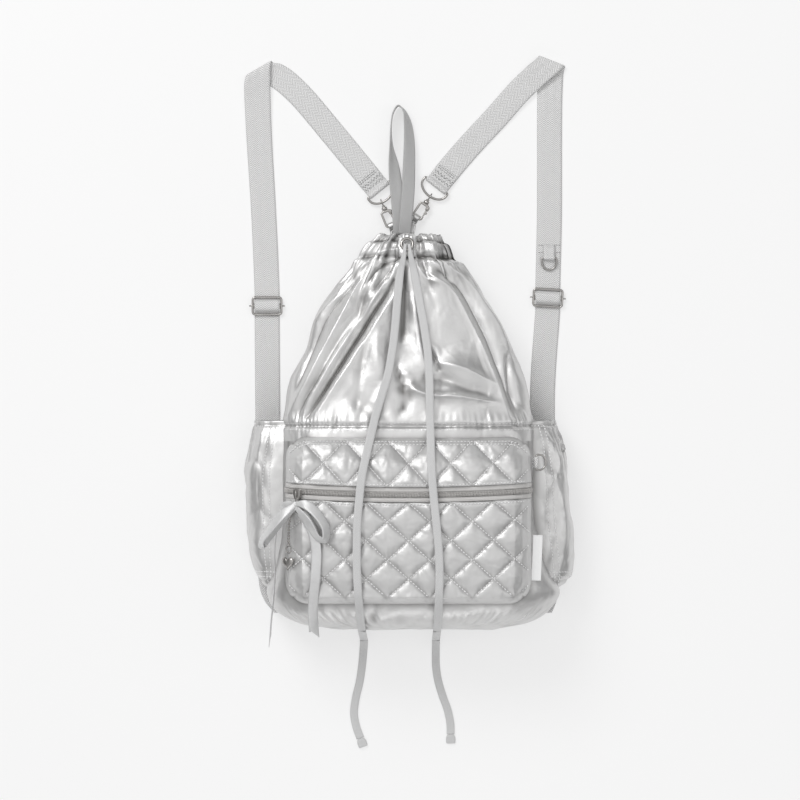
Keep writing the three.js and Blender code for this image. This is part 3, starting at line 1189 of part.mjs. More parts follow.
bagBody();
frontPocket();
addMesh("side_pocket_left", geometryOf(sidePocket(-1)), FABRIC_LOOK);
addMesh("side_pocket_right", geometryOf(sidePocket(1)), FABRIC_LOOK);
strap("left", STRAP_LEFT, RING_LEFT, SLIDER_LEFT);
strap("right", STRAP_RIGHT, RING_RIGHT, SLIDER_RIGHT);
hooks();
smallRings();
label();
const grabRows = GRAB_ROUTE.map((row) => ({ ...onBag(row, row.z * GRAB_WIDTH), tilt: row.tilt }));
const grab = sweepSolid(stripFrames(grabRows, 2), flatSection(GRAB_WIDTH, GRAB_THICKNESS));
addMesh("grab_loop", geometryOf(grab.subtract(bagCutter)), WEB_LOOK);
drawcord("left", CORD_LEFT);
drawcord("right", CORD_RIGHT);
bow();
charm();

export default bag;
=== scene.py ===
"""A silver puffer drawstring backpack lying on its back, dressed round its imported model.

Points and sizes are in millimetres in the model's frame, and become metres where a mesh is made.
"""

import json
import logging
import math
from dataclasses import dataclass, field
from enum import Enum
from typing import Any, Iterable, Sequence

import bpy
import numpy as np
from mathutils import Matrix, Vector, noise

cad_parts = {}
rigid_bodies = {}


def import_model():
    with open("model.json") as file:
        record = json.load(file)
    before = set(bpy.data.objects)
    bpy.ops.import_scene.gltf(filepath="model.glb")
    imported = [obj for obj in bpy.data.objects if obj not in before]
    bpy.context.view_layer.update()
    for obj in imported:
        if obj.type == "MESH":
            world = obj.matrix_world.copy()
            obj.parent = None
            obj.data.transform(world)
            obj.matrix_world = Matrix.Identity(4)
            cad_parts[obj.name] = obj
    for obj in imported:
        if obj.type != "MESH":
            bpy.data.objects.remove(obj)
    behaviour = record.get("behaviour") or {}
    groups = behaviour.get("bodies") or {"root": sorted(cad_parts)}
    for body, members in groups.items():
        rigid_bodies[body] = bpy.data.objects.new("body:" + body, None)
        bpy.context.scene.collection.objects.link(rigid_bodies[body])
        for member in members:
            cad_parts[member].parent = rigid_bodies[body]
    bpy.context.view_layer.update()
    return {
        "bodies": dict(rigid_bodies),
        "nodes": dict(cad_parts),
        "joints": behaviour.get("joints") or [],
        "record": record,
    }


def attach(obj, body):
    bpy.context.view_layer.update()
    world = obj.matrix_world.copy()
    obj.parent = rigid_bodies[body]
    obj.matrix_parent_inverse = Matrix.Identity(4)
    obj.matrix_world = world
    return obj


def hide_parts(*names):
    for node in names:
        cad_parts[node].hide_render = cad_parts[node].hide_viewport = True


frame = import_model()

LOG = logging.getLogger("backpack")
MM = 0.001
TO_MM = 1000
Array = np.ndarray
Material = bpy.types.Material
Colour = tuple[float, float, float, float]
Point = tuple[float, float, float]


class Slot(Enum):
    """Material slots of the record."""

    NYLON = "silver_nylon"
    WEBBING = "webbing"
    CORD = "cord"
    RIBBON = "ribbon"
    ZIP = "zip"
    LABEL = "label"
    HARDWARE = "hardware"


class Side(Enum):
    """The two sides of the bag as seen from the front."""

    LEFT = "left"
    RIGHT = "right"

    @property
    def sign(self) -> int:
        """-1 on the left and 1 on the right."""
        return -1 if self is Side.LEFT else 1


# ---------------------------------------------------------------- shader expressions


class Value:
    """A shader output that takes part in Python expressions."""

    def __init__(self, tree: bpy.types.NodeTree, output: bpy.types.NodeSocket) -> None:
        """Keeps the node tree and the output that it stands for."""
        self.tree = tree
        self.output = output

    def _math(self, operation: str, first: Any, second: Any) -> "Value":
        """Adds one Math node.

        Args:
            operation: the Math node's operation.
            first: a Value or a number.
            second: a Value or a number.

        Returns:
            The node's output.
        """
        node = self.tree.nodes.new("ShaderNodeMath")
        node.operation = operation
        for socket, term in zip(node.inputs, (first, second)):
            join(self.tree, term, socket)
        return Value(self.tree, node.outputs[0])

    def __add__(self, other: Any) -> "Value":
        """Sum."""
        return self._math("ADD", self, other)

    __radd__ = __add__

    def __sub__(self, other: Any) -> "Value":
        """Difference."""
        return self._math("SUBTRACT", self, other)

    def __rsub__(self, other: Any) -> "Value":
        """Difference from a number."""
        return self._math("SUBTRACT", other, self)

    def __mul__(self, other: Any) -> "Value":
        """Product."""
        return self._math("MULTIPLY", self, other)

    __rmul__ = __mul__

    def __truediv__(self, other: Any) -> "Value":
        """Quotient."""
        return self._math("DIVIDE", self, other)

    def __rtruediv__(self, other: Any) -> "Value":
        """Quotient of a number."""
        return self._math("DIVIDE", other, self)

    def __pow__(self, other: Any) -> "Value":
        """Power."""
        return self._math("POWER", self, other)

    def __rpow__(self, other: Any) -> "Value":
        """Power of a number."""
        return self._math("POWER", other, self)

    def sine(self) -> "Value":
        """Sine of the value in radians."""
        return self._math("SINE", self, 0.0)

    def waves(self, pitch: float) -> "Value":
        """Waves from 0 to 1 of a pitch in the value's unit."""
        return (self * (2 * math.pi / pitch)).sine() * 0.5 + 0.5

    def pingpong(self, scale: float) -> "Value":
        """A zigzag between 0 and scale."""
        return self._math("PINGPONG", self, scale)

    def at_most(self, other: Any) -> "Value":
        """The smaller of two values."""
        return self._math("MINIMUM", self, other)

    def at_least(self, other: Any) -> "Value":
        """The larger of two values."""
        return self._math("MAXIMUM", self, other)


def join(tree: bpy.types.NodeTree, term: Any, socket: bpy.types.NodeSocket) -> None:
    """Links a Value to a socket, or sets the socket to a constant.

    Args:
        tree: the node tree.
        term: the Value or the constant.
        socket: the socket.
    """
    if isinstance(term, Value):
        tree.links.new(term.output, socket)
    else:
        socket.default_value = term


class Shader:
    """A material's node tree while it is being built."""

    def __init__(self, name: str, world: bool = False) -> None:
        """Starts an empty material of that name, or an empty world."""
        self.material = (bpy.data.worlds if world else bpy.data.materials).new(name)
        self.material.use_nodes = True
        self.tree = self.material.node_tree
        self.tree.nodes.clear()

    def node(self, kind: str, settings: dict[str, Any] | None = None, **inputs: Any) -> bpy.types.Node:
        """Adds any node.

        Args:
            kind: the node's type without its ShaderNode prefix.
            settings: its own settings.
            inputs: values or links by socket name, with _ for a blank.

        Returns:
            The node.
        """
        made = self.tree.nodes.new("ShaderNode" + kind)
        for key, setting in (settings or {}).items():
            setattr(made, key, setting)
        for key, term in inputs.items():
            join(self.tree, term, made.inputs[key.replace("_", " ")])
        return made

    def value(self, node: bpy.types.Node, output: str | int = 0) -> Value:
        """One output of a node as a Value."""
        return Value(self.tree, node.outputs[output])

    def place(self, stretch: Point = (1, 1, 1)) -> Value:
        """Object coordinates in millimetres, stretched.

        Args:
            stretch: factors of the three axes.

        Returns:
            The coordinates as a vector.
        """
        source = self.value(self.node("TexCoord"), "Object")
        return self.value(self.node("Mapping", Vector=source, Scale=tuple(TO_MM * s for s in stretch)))

    def along(self) -> tuple[Value, Value]:
        """Places across and along a strip or panel in millimetres, from its own map."""
        parts = self.node("SeparateXYZ", Vector=self.value(self.node("UVMap", {"uv_map": "cloth"})))
        return self.value(parts, 0) * TO_MM, self.value(parts, 1) * TO_MM

    def noise(self, where: Value, size: float, detail: float = 2, rough: float = 0.5, **more: Any) -> Value:
        """Noise from 0 to 1 with lumps of a size in millimetres.

        Args:
            where: coordinates in millimetres.
            size: width of a lump.
            detail: octaves over the first.
            rough: strength of each next octave.
            more: further sockets, such as Distortion.

        Returns:
            The noise.
        """
        made = self.node("TexNoise", Vector=where, Scale=1 / size, Detail=detail, Roughness=rough, **more)
        return self.value(made)

    def cells(self, where: Value, size: float) -> Value:
        """Distance from the edges of cells of a size in millimetres."""
        made = self.node("TexVoronoi", {"feature": "DISTANCE_TO_EDGE"}, Vector=where, Scale=1 / size)
        return self.value(made, "Distance")

    def mix(self, factor: Any, first: Any, second: Any) -> Value:
        """Mixes two colours.

        Args:
            factor: a Value or number from 0 to 1.
            first: colour or Value at 0.
            second: colour or Value at 1.

        Returns:
            The mixed colour.
        """
        made = self.node("Mix", {"data_type": "RGBA"})
        for index, term in ((0, factor), (6, first), (7, second)):
            join(self.tree, term, made.inputs[index])
        return self.value(made, 2)

    def bump(self, height: Value, depth: float, under: Value | None = None) -> Value:
        """A bump whose height, at 1, is a depth in millimetres.

        Args:
            height: the relief from 0 to 1.
            depth: its depth.
            under: a normal that it adds to.

        Returns:
            The normal.
        """
        more = {} if under is None else {"Normal": under}
        return self.value(self.node("Bump", Height=height, Distance=depth * MM, Strength=1.0, **more))

    def finish(self, **inputs: Any) -> Material:
        """Closes the material with a Principled shader.

        Args:
            inputs: its sockets by name, with _ for a blank.

        Returns:
            The material.
        """
        shader = self.node("BsdfPrincipled", **inputs)
        out = self.node("OutputMaterial")
        self.tree.links.new(shader.outputs[0], out.inputs[0])
        return self.material


def grey(level: float, warm: float = 0.0) -> Colour:
    """A grey, a little warmer where warm is positive."""
    return (level * (1 + warm), level, level * (1 - warm), 1.0)


# ---------------------------------------------------------------- finishes


@dataclass(frozen=True)
class SilverNylon:
    """Coated silver nylon with a fine weave and soft crumples, darkened by painted shade where its map marks
    creases.
    """

    name: str = "silver_nylon"
    light: float = 0.76
    dark: float = 0.62
    metallic: float = 0.86
    rough: float = 0.4
    crumple: float = 0.2
    weave: float = 0.02
    threads: float = 9.0
    facet: float = 17.0

    def material(self) -> Material:
        """Builds the material."""
        shader = Shader(self.name)
        where = shader.place()
        cloudy = shader.noise(where, 26, 3, 0.55)
        fine = shader.noise(where, 3.4, 3, 0.6)
        # Painted shade: the cloth map's first channel, set per piece, darkens the colour in creases, hollows
        # and beside other parts.
        painted_crease_shade = shader.along()[0].at_most(1.0).at_least(0.0)
        colour = shader.mix(cloudy, grey(self.dark, 0.006), grey(self.light, 0.004))
        colour = shader.mix(painted_crease_shade, colour, grey(self.dark * 0.26, 0.03))
        rough = self.rough - 0.08 + 0.12 * cloudy + 0.06 * fine
        warp = shader.noise(where, 9, 2, 0.5, Distortion=0.6)
        creases = shader.cells(shader.place((0.8, 1.15, 1)), self.facet).at_most(0.5)
        normal = shader.bump(warp, self.crumple * 0.8)
        normal = shader.bump(creases, self.crumple * 1.3, normal)
        normal = shader.bump(shader.noise(where, 3.2, 2, 0.5), self.crumple * 0.16, normal)
        parts = shader.node("SeparateXYZ", Vector=where)
        weft, warps = (shader.value(parts, k) * self.threads for k in range(2))
        weave = weft.sine() * warps.sine()
        normal = shader.bump(weave * 0.5 + 0.5, self.weave, normal)
        return shader.finish(
            Base_Color=colour, Metallic=self.metallic, Roughness=rough, Normal=normal, IOR=1.45
        )


@dataclass(frozen=True)
class Herringbone:
    """Webbing woven in zigzag rows between plain selvedges."""

    name: str = "herringbone_webbing"
    light: float = 0.94
    dark: float = 0.42
    band: float = 8.2
    rib: float = 2.1

    def material(self) -> Material:
        """Builds the material."""
        shader = Shader(self.name)
        across, along = shader.along()
        rib = (along + across.pingpong(self.band / 2)).waves(self.rib)
        threads = across.waves(0.9)
        fuzz = shader.noise(shader.place(), 1.1, 3, 0.7)
        tone = (rib * 0.75 + threads * 0.08 + fuzz * 0.3).at_most(1.0)
        colour = shader.mix(tone, grey(self.dark, 0.004), grey(self.light, 0.002))
        normal = shader.bump(rib * 0.75 + threads * 0.25, 0.3)
        normal = shader.bump(fuzz, 0.1, normal)
        return shader.finish(
            Base_Color=colour, Metallic=0.12, Roughness=0.52 + 0.2 * fuzz, Normal=normal,
            Sheen_Weight=0.25, Sheen_Roughness=0.4,
        )


@dataclass(frozen=True)
class FlatCord:
    """Flat woven drawcord."""

    name: str = "flat_cord"
    light: float = 0.76
    dark: float = 0.52

    def material(self) -> Material:
        """Builds the material."""
        shader = Shader(self.name)
        across, along = shader.along()
        braid = (along + across.pingpong(2.0) * 0.9).waves(1.5)
        fuzz = shader.noise(shader.place(), 1.3, 3, 0.7)
        colour = shader.mix((braid * 0.5 + fuzz * 0.6).at_most(1.0), grey(self.dark), grey(self.light))
        normal = shader.bump(braid, 0.13)
        normal = shader.bump(fuzz, 0.1, normal)
        return shader.finish(
            Base_Color=colour, Roughness=0.62 + 0.15 * fuzz, Metallic=0.1, Normal=normal,
            Sheen_Weight=0.3, Sheen_Roughness=0.45,
        )


@dataclass(frozen=True)
class SatinRibbon:
    """Satin ribbon with fine cross threads and bright edges."""

    name: str = "satin_ribbon"
    width: float = 10.0

    def material(self) -> Material:
        """Builds the material."""
        shader = Shader(self.name)
        across, along = shader.along()
        threads = along.waves(0.55)
        edge = (across - self.width / 2) / (self.width / 2)
        edge = (edge * edge) ** 6
        soft = shader.noise(shader.place(), 6, 3, 0.6)
        colour = shader.mix(soft, grey(0.6), grey(0.76))
        normal = shader.bump(threads, 0.03)
        normal = shader.bump(edge, 0.12, normal)
        return shader.finish(
            Base_Color=colour, Roughness=0.32 + 0.14 * soft, Metallic=0.35, Normal=normal,
            Sheen_Weight=0.2,
        )


@dataclass(frozen=True)
class WovenTape:
    """The zip's woven tape, ribbed along its run."""

    name: str = "zip_tape"
    light: float = 0.76
    dark: float = 0.5

    def material(self) -> Material:
        """Builds the material."""
        shader = Shader(self.name)
        across, along = shader.along()
        ribs = across.waves(1.3)
        knit = (along + across.pingpong(0.65)).waves(0.9)
        fuzz = shader.noise(shader.place(), 1.0, 3, 0.7)
        tone = (ribs * 0.45 + knit * 0.3 + fuzz * 0.35).at_most(1.0)
        colour = shader.mix(tone, grey(self.dark, 0.02), grey(self.light, 0.018))
        normal = shader.bump(ribs * 0.6 + knit * 0.4, 0.16)
        return shader.finish(Base_Color=colour, Roughness=0.5 + 0.2 * fuzz, Metallic=0.2, Normal=normal)


@dataclass(frozen=True)
class ZipCoil:
    """Glossy nylon of the zip's coil."""

    name: str = "zip_coil_nylon"

    def material(self) -> Material:
        """Builds the material."""
        shader = Shader(self.name)
        soft = shader.noise(shader.place(), 2.2, 3, 0.6)
        colour = shader.mix(soft, grey(0.4, 0.03), grey(0.6, 0.025))
        normal = shader.bump(soft, 0.05)
        return shader.finish(Base_Color=colour, Roughness=0.3 + 0.12 * soft, Metallic=0.25, Normal=normal)


@dataclass(frozen=True)
class PolishedMetal:
    """Nickel-plated hardware with faint wear."""

    name: str = "nickel"
    light: float = 0.5
    dark: float = 0.3
    warm: float = 0.03
    rough: float = 0.2

    def material(self) -> Material:
        """Builds the material."""
        shader = Shader(self.name)
        where = shader.place()
        soft = shader.noise(where, 2.6, 4, 0.6)
        scratches = shader.noise(shader.place((6, 0.5, 1)), 0.9, 3, 0.6)
        colour = shader.mix(soft, grey(self.dark, self.warm), grey(self.light, self.warm))
        normal = shader.bump(scratches, 0.006)
        normal = shader.bump(soft, 0.012, normal)
        rough = self.rough - 0.05 + 0.12 * soft + 0.06 * scratches
        return shader.finish(Base_Color=colour, Metallic=1.0, Roughness=rough, Normal=normal)


@dataclass(frozen=True)
class WhiteLabel:
    """Bare white satin label with a folded edge, given a painted glow."""

    name: str = "white_label"
    thread: float = 0.6
    glow: float = 0.16

    def material(self) -> Material:
        """Builds the material."""
        shader = Shader(self.name)
        across, along = shader.along()
        turn = 2 * math.pi / self.thread
        threads = (along * turn).sine() * (across * turn).sine()
        soft = shader.noise(shader.place(), 5, 3, 0.6)
        colour = shader.mix(soft, grey(0.93), grey(0.99))
        normal = shader.bump(threads * 0.5 + 0.5, 0.03)
        normal = shader.bump(soft, 0.2, normal)
        # Painted light: the label glows a little to stay bright white.
        return shader.finish(
            Base_Color=colour, Roughness=0.5 + 0.15 * soft, Normal=normal, Sheen_Weight=0.15,
            Emission_Color=grey(1.0), Emission_Strength=self.glow,
        )


@dataclass(frozen=True)
class Thread:
    """Sewing thread."""

    name: str = "silver_thread"
    level: float = 0.8

    def material(self) -> Material:
        """Builds the material."""
        shader = Shader(self.name)
        twist = shader.noise(shader.place((1, 1, 3)), 0.5, 2, 0.6)
        colour = shader.mix(twist, grey(self.level * 0.8), grey(self.level * 1.15))
        normal = shader.bump(twist, 0.05)
        return shader.finish(Base_Color=colour, Roughness=0.45 + 0.15 * twist, Metallic=0.15, Normal=normal)


@dataclass(frozen=True)
class StudioFloor:
    """Plain pale floor."""

    name: str = "studio_floor"
    level: float = 0.42
    glow: float = 0.54

    def material(self) -> Material:
        """Builds the material."""
        shader = Shader(self.name)
        soft = shader.noise(shader.place(), 400, 1, 0.4)
        colour = shader.mix(soft, grey(self.level * 0.995), grey(self.level))
        return shader.finish(
            Base_Color=colour, Roughness=0.9 + 0.05 * soft, Specular_IOR_Level=0.1,
            Emission_Color=grey(1.0), Emission_Strength=self.glow,
        )


# ---------------------------------------------------------------- shapes


def unit(vectors: Array) -> Array:
    """Vectors scaled to length 1 along their last axis."""
    size = np.linalg.norm(vectors, axis=-1, keepdims=True)
    return vectors / np.maximum(size, 1e-9)


def heading(line: Array) -> Array:
    """Unit direction of a line at each of its points."""
    return unit(np.gradient(line, axis=0))


def run_of(line: Array) -> Array:
    """Length of a line up to each of its points."""
    return np.concatenate([[0], np.cumsum(np.linalg.norm(np.diff(line, axis=0), axis=1))])


def around(steps: int) -> Array:
    """Angles of a full turn in even steps."""
    return np.linspace(0, 2 * np.pi, steps, endpoint=False)


def clamp(values: Array) -> Array:
    """Values kept from 0 to 1."""
    return np.clip(values, 0, 1)


def bell(x: Array, at: float, width: float, power: float = 2) -> Array:
    """A smooth hump of height 1 at a place, flatter on top for a higher power.

    Args:
        x: where to read.
        at: the place.
        width: how far the hump reaches.
        power: 2 for a round hump.

    Returns:
        The heights.
    """
    return np.exp(-(((x - at) / width) ** power))


def rising(x: Array, at: float, width: float) -> Array:
    """A smooth step from 0 to 1 at a place."""
    return 1 / (1 + np.exp(-(x - at) / width))


def smooth_table(places: Array, values: Array, at: Array) -> Array:
    """Values of a table at places between its rows, on a smooth curve that never overshoots.

    Args:
        places: the rows' places, rising.
        values: the rows' values.
        at: where to read.

    Returns:
        The values there.
    """
    at = np.clip(at, places[0], places[-1])
    step = np.diff(places)
    slope = np.diff(values) / step
    bend = np.zeros_like(values)
    before, after = slope[:-1], slope[1:]
    same = before * after > 0
    first, second = 2 * step[1:] + step[:-1], step[1:] + 2 * step[:-1]
    safe = [np.where(same, part, 1.0) for part in (before, after)]
    bend[1:-1] = np.where(same, (first + second) / (first / safe[0] + second / safe[1]), 0.0)
    bend[0], bend[-1] = slope[0], slope[-1]
    i = np.clip(np.searchsorted(places, at, side="right") - 1, 0, len(step) - 1)
    t = (at - places[i]) / step[i]
    h = step[i]
    return (
        (1 + 2 * t) * (1 - t) ** 2 * values[i] + t * (1 - t) ** 2 * h * bend[i]
        + t * t * (3 - 2 * t) * values[i + 1] + t * t * (t - 1) * h * bend[i + 1]
    )


def curve(points: Array, per_step: int) -> Array:
    """A centripetal Catmull-Rom curve through points.

    Args:
        points: rows of coordinates; further columns ride along.
        per_step: parts between two points.

    Returns:
        The points of the curve.
    """
    p = np.asarray(points, float)
    p = np.vstack([2 * p[0] - p[1], p, 2 * p[-1] - p[-2]])
    gaps = np.maximum(np.linalg.norm(np.diff(p[:, :3], axis=0), axis=1), 1e-3) ** 0.5
    out = []
    for i in range(1, len(p) - 2):
        d0, d1, d2 = gaps[i - 1], gaps[i], gaps[i + 1]
        a, b, c, d = p[i - 1 : i + 3]
        start = ((b - a) / d0 - (c - a) / (d0 + d1) + (c - b) / d1) * d1
        end = ((c - b) / d1 - (d - b) / (d1 + d2) + (d - c) / d2) * d1
        for t in np.arange(per_step) / per_step:
            square, cube = -3 * b + 3 * c - 2 * start - end, 2 * b - 2 * c + start + end
            out.append(b + start * t + square * t * t + cube * t**3)
    return np.array(out + [p[-2]])


def evenly(line: Array, step: float) -> Array:
    """A polyline's points at even steps of about a length, ends kept.

    Args:
        line: its points; further columns ride along.
        step: the length.

    Returns:
        The new points.
    """
    run = run_of(line[:, :3])
    count = max(2, int(round(run[-1] / step)) + 1)
    at = np.linspace(0, run[-1], count)
    return np.stack([np.interp(at, run, line[:, k]) for k in range(line.shape[1])], axis=1)


def grid_normals(grid: Array, ring: bool = False) -> Array:
    """Unit normals of a grid of points, by its rows and columns.

    Args:
        grid: rows by columns by 3.
        ring: whether the columns close on themselves.

    Returns:
        The normals.
    """
    along = np.gradient(grid, axis=0)
    if ring:
        across = np.roll(grid, -1, axis=1) - np.roll(grid, 1, axis=1)
    else:
        across = np.gradient(grid, axis=1)
    return unit(np.cross(along, across))


class Shape:
    """Points in millimetres and faces that become one mesh."""

    def __init__(self) -> None:
        """Starts empty."""
        self.points: list[Array] = []
        self.faces: list[tuple[int, ...]] = []
        self.maps: list[Array] = []
        self.count = 0

    def add(self, points: Array, faces: Iterable[Sequence[int]], cloth: Array | None = None) -> "Shape":
        """Adds points and the faces between them.

        Args:
            points: rows of coordinates.
            faces: indices among these points.
            cloth: places across and along the material, by point.

        Returns:
            The shape itself.
        """
        points = np.asarray(points, float).reshape(-1, 3)
        self.points.append(points)
        self.maps.append(np.zeros((len(points), 2)) if cloth is None else np.reshape(cloth, (-1, 2)))
        self.faces.extend(tuple(i + self.count for i in face) for face in faces)
        self.count += len(points)
        return self

    def attach(self, other: "Shape", place: Matrix, shift: Point = (0, 0, 0)) -> "Shape":
        """Adds another shape, shifted and then taken through a frame.

        Args:
            other: the shape.
            place: the frame.
            shift: the shift within it.

        Returns:
            The shape itself.
        """
        return self.add(moved(np.concatenate(other.points) + np.array(shift), place), other.faces)

    def grid(
        self, grid: Array, ring: bool = False, loop: bool = False, caps: bool = False,
        cloth: Array | None = None,
    ) -> "Shape":
        """Adds a grid of points as quads.

        Args:
            grid: rows by columns by 3.
            ring: whether the columns close on themselves.
            loop: whether the rows do.
            caps: closes the first and last ring with one face each.
            cloth: rows by columns by 2, places on the material.

        Returns:
            The shape itself.
        """
        rows, columns = grid.shape[:2]
        i = np.arange(rows if loop else rows - 1)[:, None]
        j = np.arange(columns if ring else columns - 1)[None, :]
        ahead, beside = (i + 1) % rows, (j + 1) % columns
        corners = (i * columns + j, ahead * columns + j, ahead * columns + beside, i * columns + beside)
        faces = np.stack([x.ravel() for x in corners], axis=1).tolist()
        if caps:
            faces += [list(range(columns)), list(range((rows - 1) * columns, rows * columns))[::-1]]
        return self.add(grid, faces, cloth)

    def sheet(self, grid: Array, thickness: float, cloth: Array | None = None) -> "Shape":
        """Adds a closed sheet of some thickness under a grid.

        Args:
            grid: its upper face, rows by columns by 3.
            thickness: how far its lower face lies under it.
            cloth: rows by columns by 2, places on the material.

        Returns:
            The shape itself.
        """
        under = grid - grid_normals(grid) * thickness
        ring = np.concatenate([grid, under[:, ::-1]], axis=1)
        ways = None if cloth is None else np.concatenate([cloth, cloth[:, ::-1]], axis=1)
        return self.grid(ring, ring=True, cloth=ways, caps=True)

    def sweep(self, line: Array, across: Array, up: Array, section: Array, loop: bool = False) -> "Shape":
        """Sweeps a closed section along a line.

        Args:
            line: points of the line.
            across: unit vectors of the section's first direction.
            up: unit vectors of its second.
            section: points of the section, or one set for each point of the line.
            loop: whether the line closes on itself; otherwise its ends get caps.

        Returns:
            The shape itself.
        """
        section = np.asarray(section, float)
        if section.ndim == 2:
            section = np.broadcast_to(section, (len(line), *section.shape))
        grid = line[:, None] + section[..., :1] * across[:, None] + section[..., 1:2] * up[:, None]
        run = np.broadcast_to(run_of(line)[:, None], section.shape[:2])
        cloth = np.stack([section[..., 0] + np.max(section[..., 0]), run], axis=-1)
        return self.grid(grid, ring=True, loop=loop, cloth=cloth, caps=not loop)

    def wire(self, line: Array, radius: float, sides: int = 12, loop: bool = False) -> "Shape":
        """Sweeps a round wire along a line that keeps near one plane.

        Args:
            line: points of the wire's middle.
            radius: the wire's radius.
            sides: points round it.
            loop: whether it closes on itself.

        Returns:
            The shape itself.
        """
        run = unit(np.roll(line, -1, axis=0) - np.roll(line, 1, axis=0)) if loop else heading(line)
        plane = np.linalg.svd(line - line.mean(0), full_matrices=False)[2][-1]
        across = unit(np.cross(run, plane))
        up = np.cross(across, run)
        return self.sweep(line, across, up, circle(radius, sides), loop=loop)

    def object(self, name: str, material: Material) -> bpy.types.Object:
        """Makes the mesh object, in metres.

        Args:
            name: the piece's name.
            material: its material.

        Returns:
            The linked object.
        """
        mesh = bpy.data.meshes.new(name)
        mesh.from_pydata((np.concatenate(self.points) * MM).tolist(), [], self.faces)
        mesh.validate()
        layer = mesh.uv_layers.new(name="cloth")
        ways = np.concatenate(self.maps) * MM
        index = np.zeros(len(mesh.loops), int)
        mesh.loops.foreach_get("vertex_index", index)
        layer.data.foreach_set("uv", ways[index].ravel())
        mesh.polygons.foreach_set("use_smooth", [True] * len(mesh.polygons))
        mesh.materials.append(material)
        made = bpy.data.objects.new(name, mesh)
        bpy.context.scene.collection.objects.link(made)
        return made


def circle(radius: float, sides: int) -> Array:
    """Points of a circle about its middle."""
    angle = around(sides)
    return np.stack([radius * np.cos(angle), radius * np.sin(angle)], axis=1)


def upright_circle(radius: float, sides: int) -> Array:
    """Points of a circle in the first and third axes."""
    return np.insert(circle(radius, sides), 1, 0.0, axis=1)


def flat_line(places: Array) -> Array:
    """Places in a plane as points at height 0."""
    return np.column_stack([places, np.zeros(len(places))])


def sized(section: Array, across: Array, up: Array | None = None) -> Array:
    """A section repeated along a line, each time with its own size.

    Args:
        section: its points.
        across: factors of its first direction along the line.
        up: factors of its second, or none for the same ones.

    Returns:
        The sections.
    """
    return section[None] * np.stack([across, across if up is None else up], axis=1)[:, None]


def strip_section(width: float, thickness: float, steps: int = 8, crown: float = 0.0) -> Array:
    """Section of a woven strip with rounded edges.

    Args:
        width: its width.
        thickness: its thickness.
        steps: parts across.
        crown: how far its middle stands proud of its edges.

    Returns:
        The section's points.
    """
    place = np.linspace(1, -1, steps + 1)
    height = thickness / 2 * (1 - 0.55 * np.abs(place) ** 10) + crown * (1 - place**2)
    top = np.stack([place * width / 2, height], axis=1)
    under = np.stack([place[::-1] * width / 2, crown * (1 - place[::-1] ** 2) * 2 - height[::-1]], axis=1)
    return np.concatenate([top, under])


def oval_section(width: float, height: float, sides: int = 16, square: float = 2.0) -> Array:
    """Section of a flattened cord.

    Args:
        width: its width.
        height: its height.
        sides: its points.
        square: 2 for an oval, and more for a squarer form.

    Returns:
        The section's points.
    """
    angle = around(sides)
    power = 2 / square
    x = np.sign(np.cos(angle)) * np.abs(np.cos(angle)) ** power * width / 2
    y = np.sign(np.sin(angle)) * np.abs(np.sin(angle)) ** power * height / 2
    return np.stack([x, y], axis=1)


def place_at(x: float, y: float, z: float, degrees: float = 0.0, lean: float = 0.0) -> Matrix:
    """Frame at a point, turned about Z and then leaning about its own second axis.

    Args:
        x: the point's first coordinate.
        y: its second one.
        z: its third one.
        degrees: the turn about Z.
        lean: the turn about the second axis, in degrees.

    Returns:
        The frame.
    """
    turned = Matrix.Translation((x, y, z)) @ Matrix.Rotation(math.radians(degrees), 4, "Z")
    return turned @ Matrix.Rotation(math.radians(lean), 4, "Y")


def moved(points: Array, matrix: Matrix) -> Array:
    """Points taken through a frame."""
    m = np.array(matrix)
    return points @ m[:3, :3].T + m[:3, 3]


def strip_frames(rows: Array, per_step: int) -> tuple[Array, Array, Array]:
    """Line and frame of a flat strip whose rows are x, y, z and tilt.

    Args:
        rows: the route.
        per_step: parts between two rows.

    Returns:
        The line, its across vectors and its up vectors.
    """
    smooth = curve(np.asarray(rows, float), per_step)
    line = smooth[:, :3]
    run = heading(line)
    level = unit(np.stack([-run[:, 1], run[:, 0], np.zeros(len(run))], axis=1))
    tilt = np.radians(smooth[:, 3])[:, None]
    across = unit(level * np.cos(tilt) + np.cross(run, level) * np.sin(tilt))
    return line, across, unit(np.cross(run, across))


class Sewing:
    """Collects the stitches of one piece of sewing as small threads."""

    def __init__(self, length: float = 2.3, gap: float = 0.9, radius: float = 0.26) -> None:
        """Sets the stitch's length, the gap to the next one and the thread's radius."""
        self.length, self.gap, self.radius = length, gap, radius
        self.shape = Shape()

    def seam(self, line: Array, normals: Array | None = None, lift: float = 0.0) -> "Sewing":
        """Sews along a line.

        Args:
            line: points of the seam on the cloth.
            normals: the cloth's normals there, or none for straight up.
            lift: how far the thread lies over the line.

        Returns:
            The sewing itself.
        """
        if normals is None:
            normals = np.tile([0.0, 0.0, 1.0], (len(line), 1))
        both = evenly(np.concatenate([line, normals], axis=1), 0.6)
        run = run_of(both[:, :3])
        for start in np.arange(self.gap / 2, run[-1] - self.length * 0.8, self.length + self.gap):
            at = start + self.length * np.array([0, 0.12, 0.5, 0.88, 1])
            row = np.stack([np.interp(at, run, both[:, k]) for k in range(6)], axis=1)
            up = unit(row[:, 3:])
            across = unit(np.cross(up, heading(row[:, :3])))
            size = self.radius * np.array([0.35, 0.95, 1.05, 0.95, 0.35])
            sink = np.array([-0.5, 0.2, 0.55, 0.2, -0.5]) * self.radius + lift
            self.shape.sweep(row[:, :3] + up * sink[:, None], across, up, sized(circle(1.0, 5), size))
        return self


# ---------------------------------------------------------------- relief of the cloth


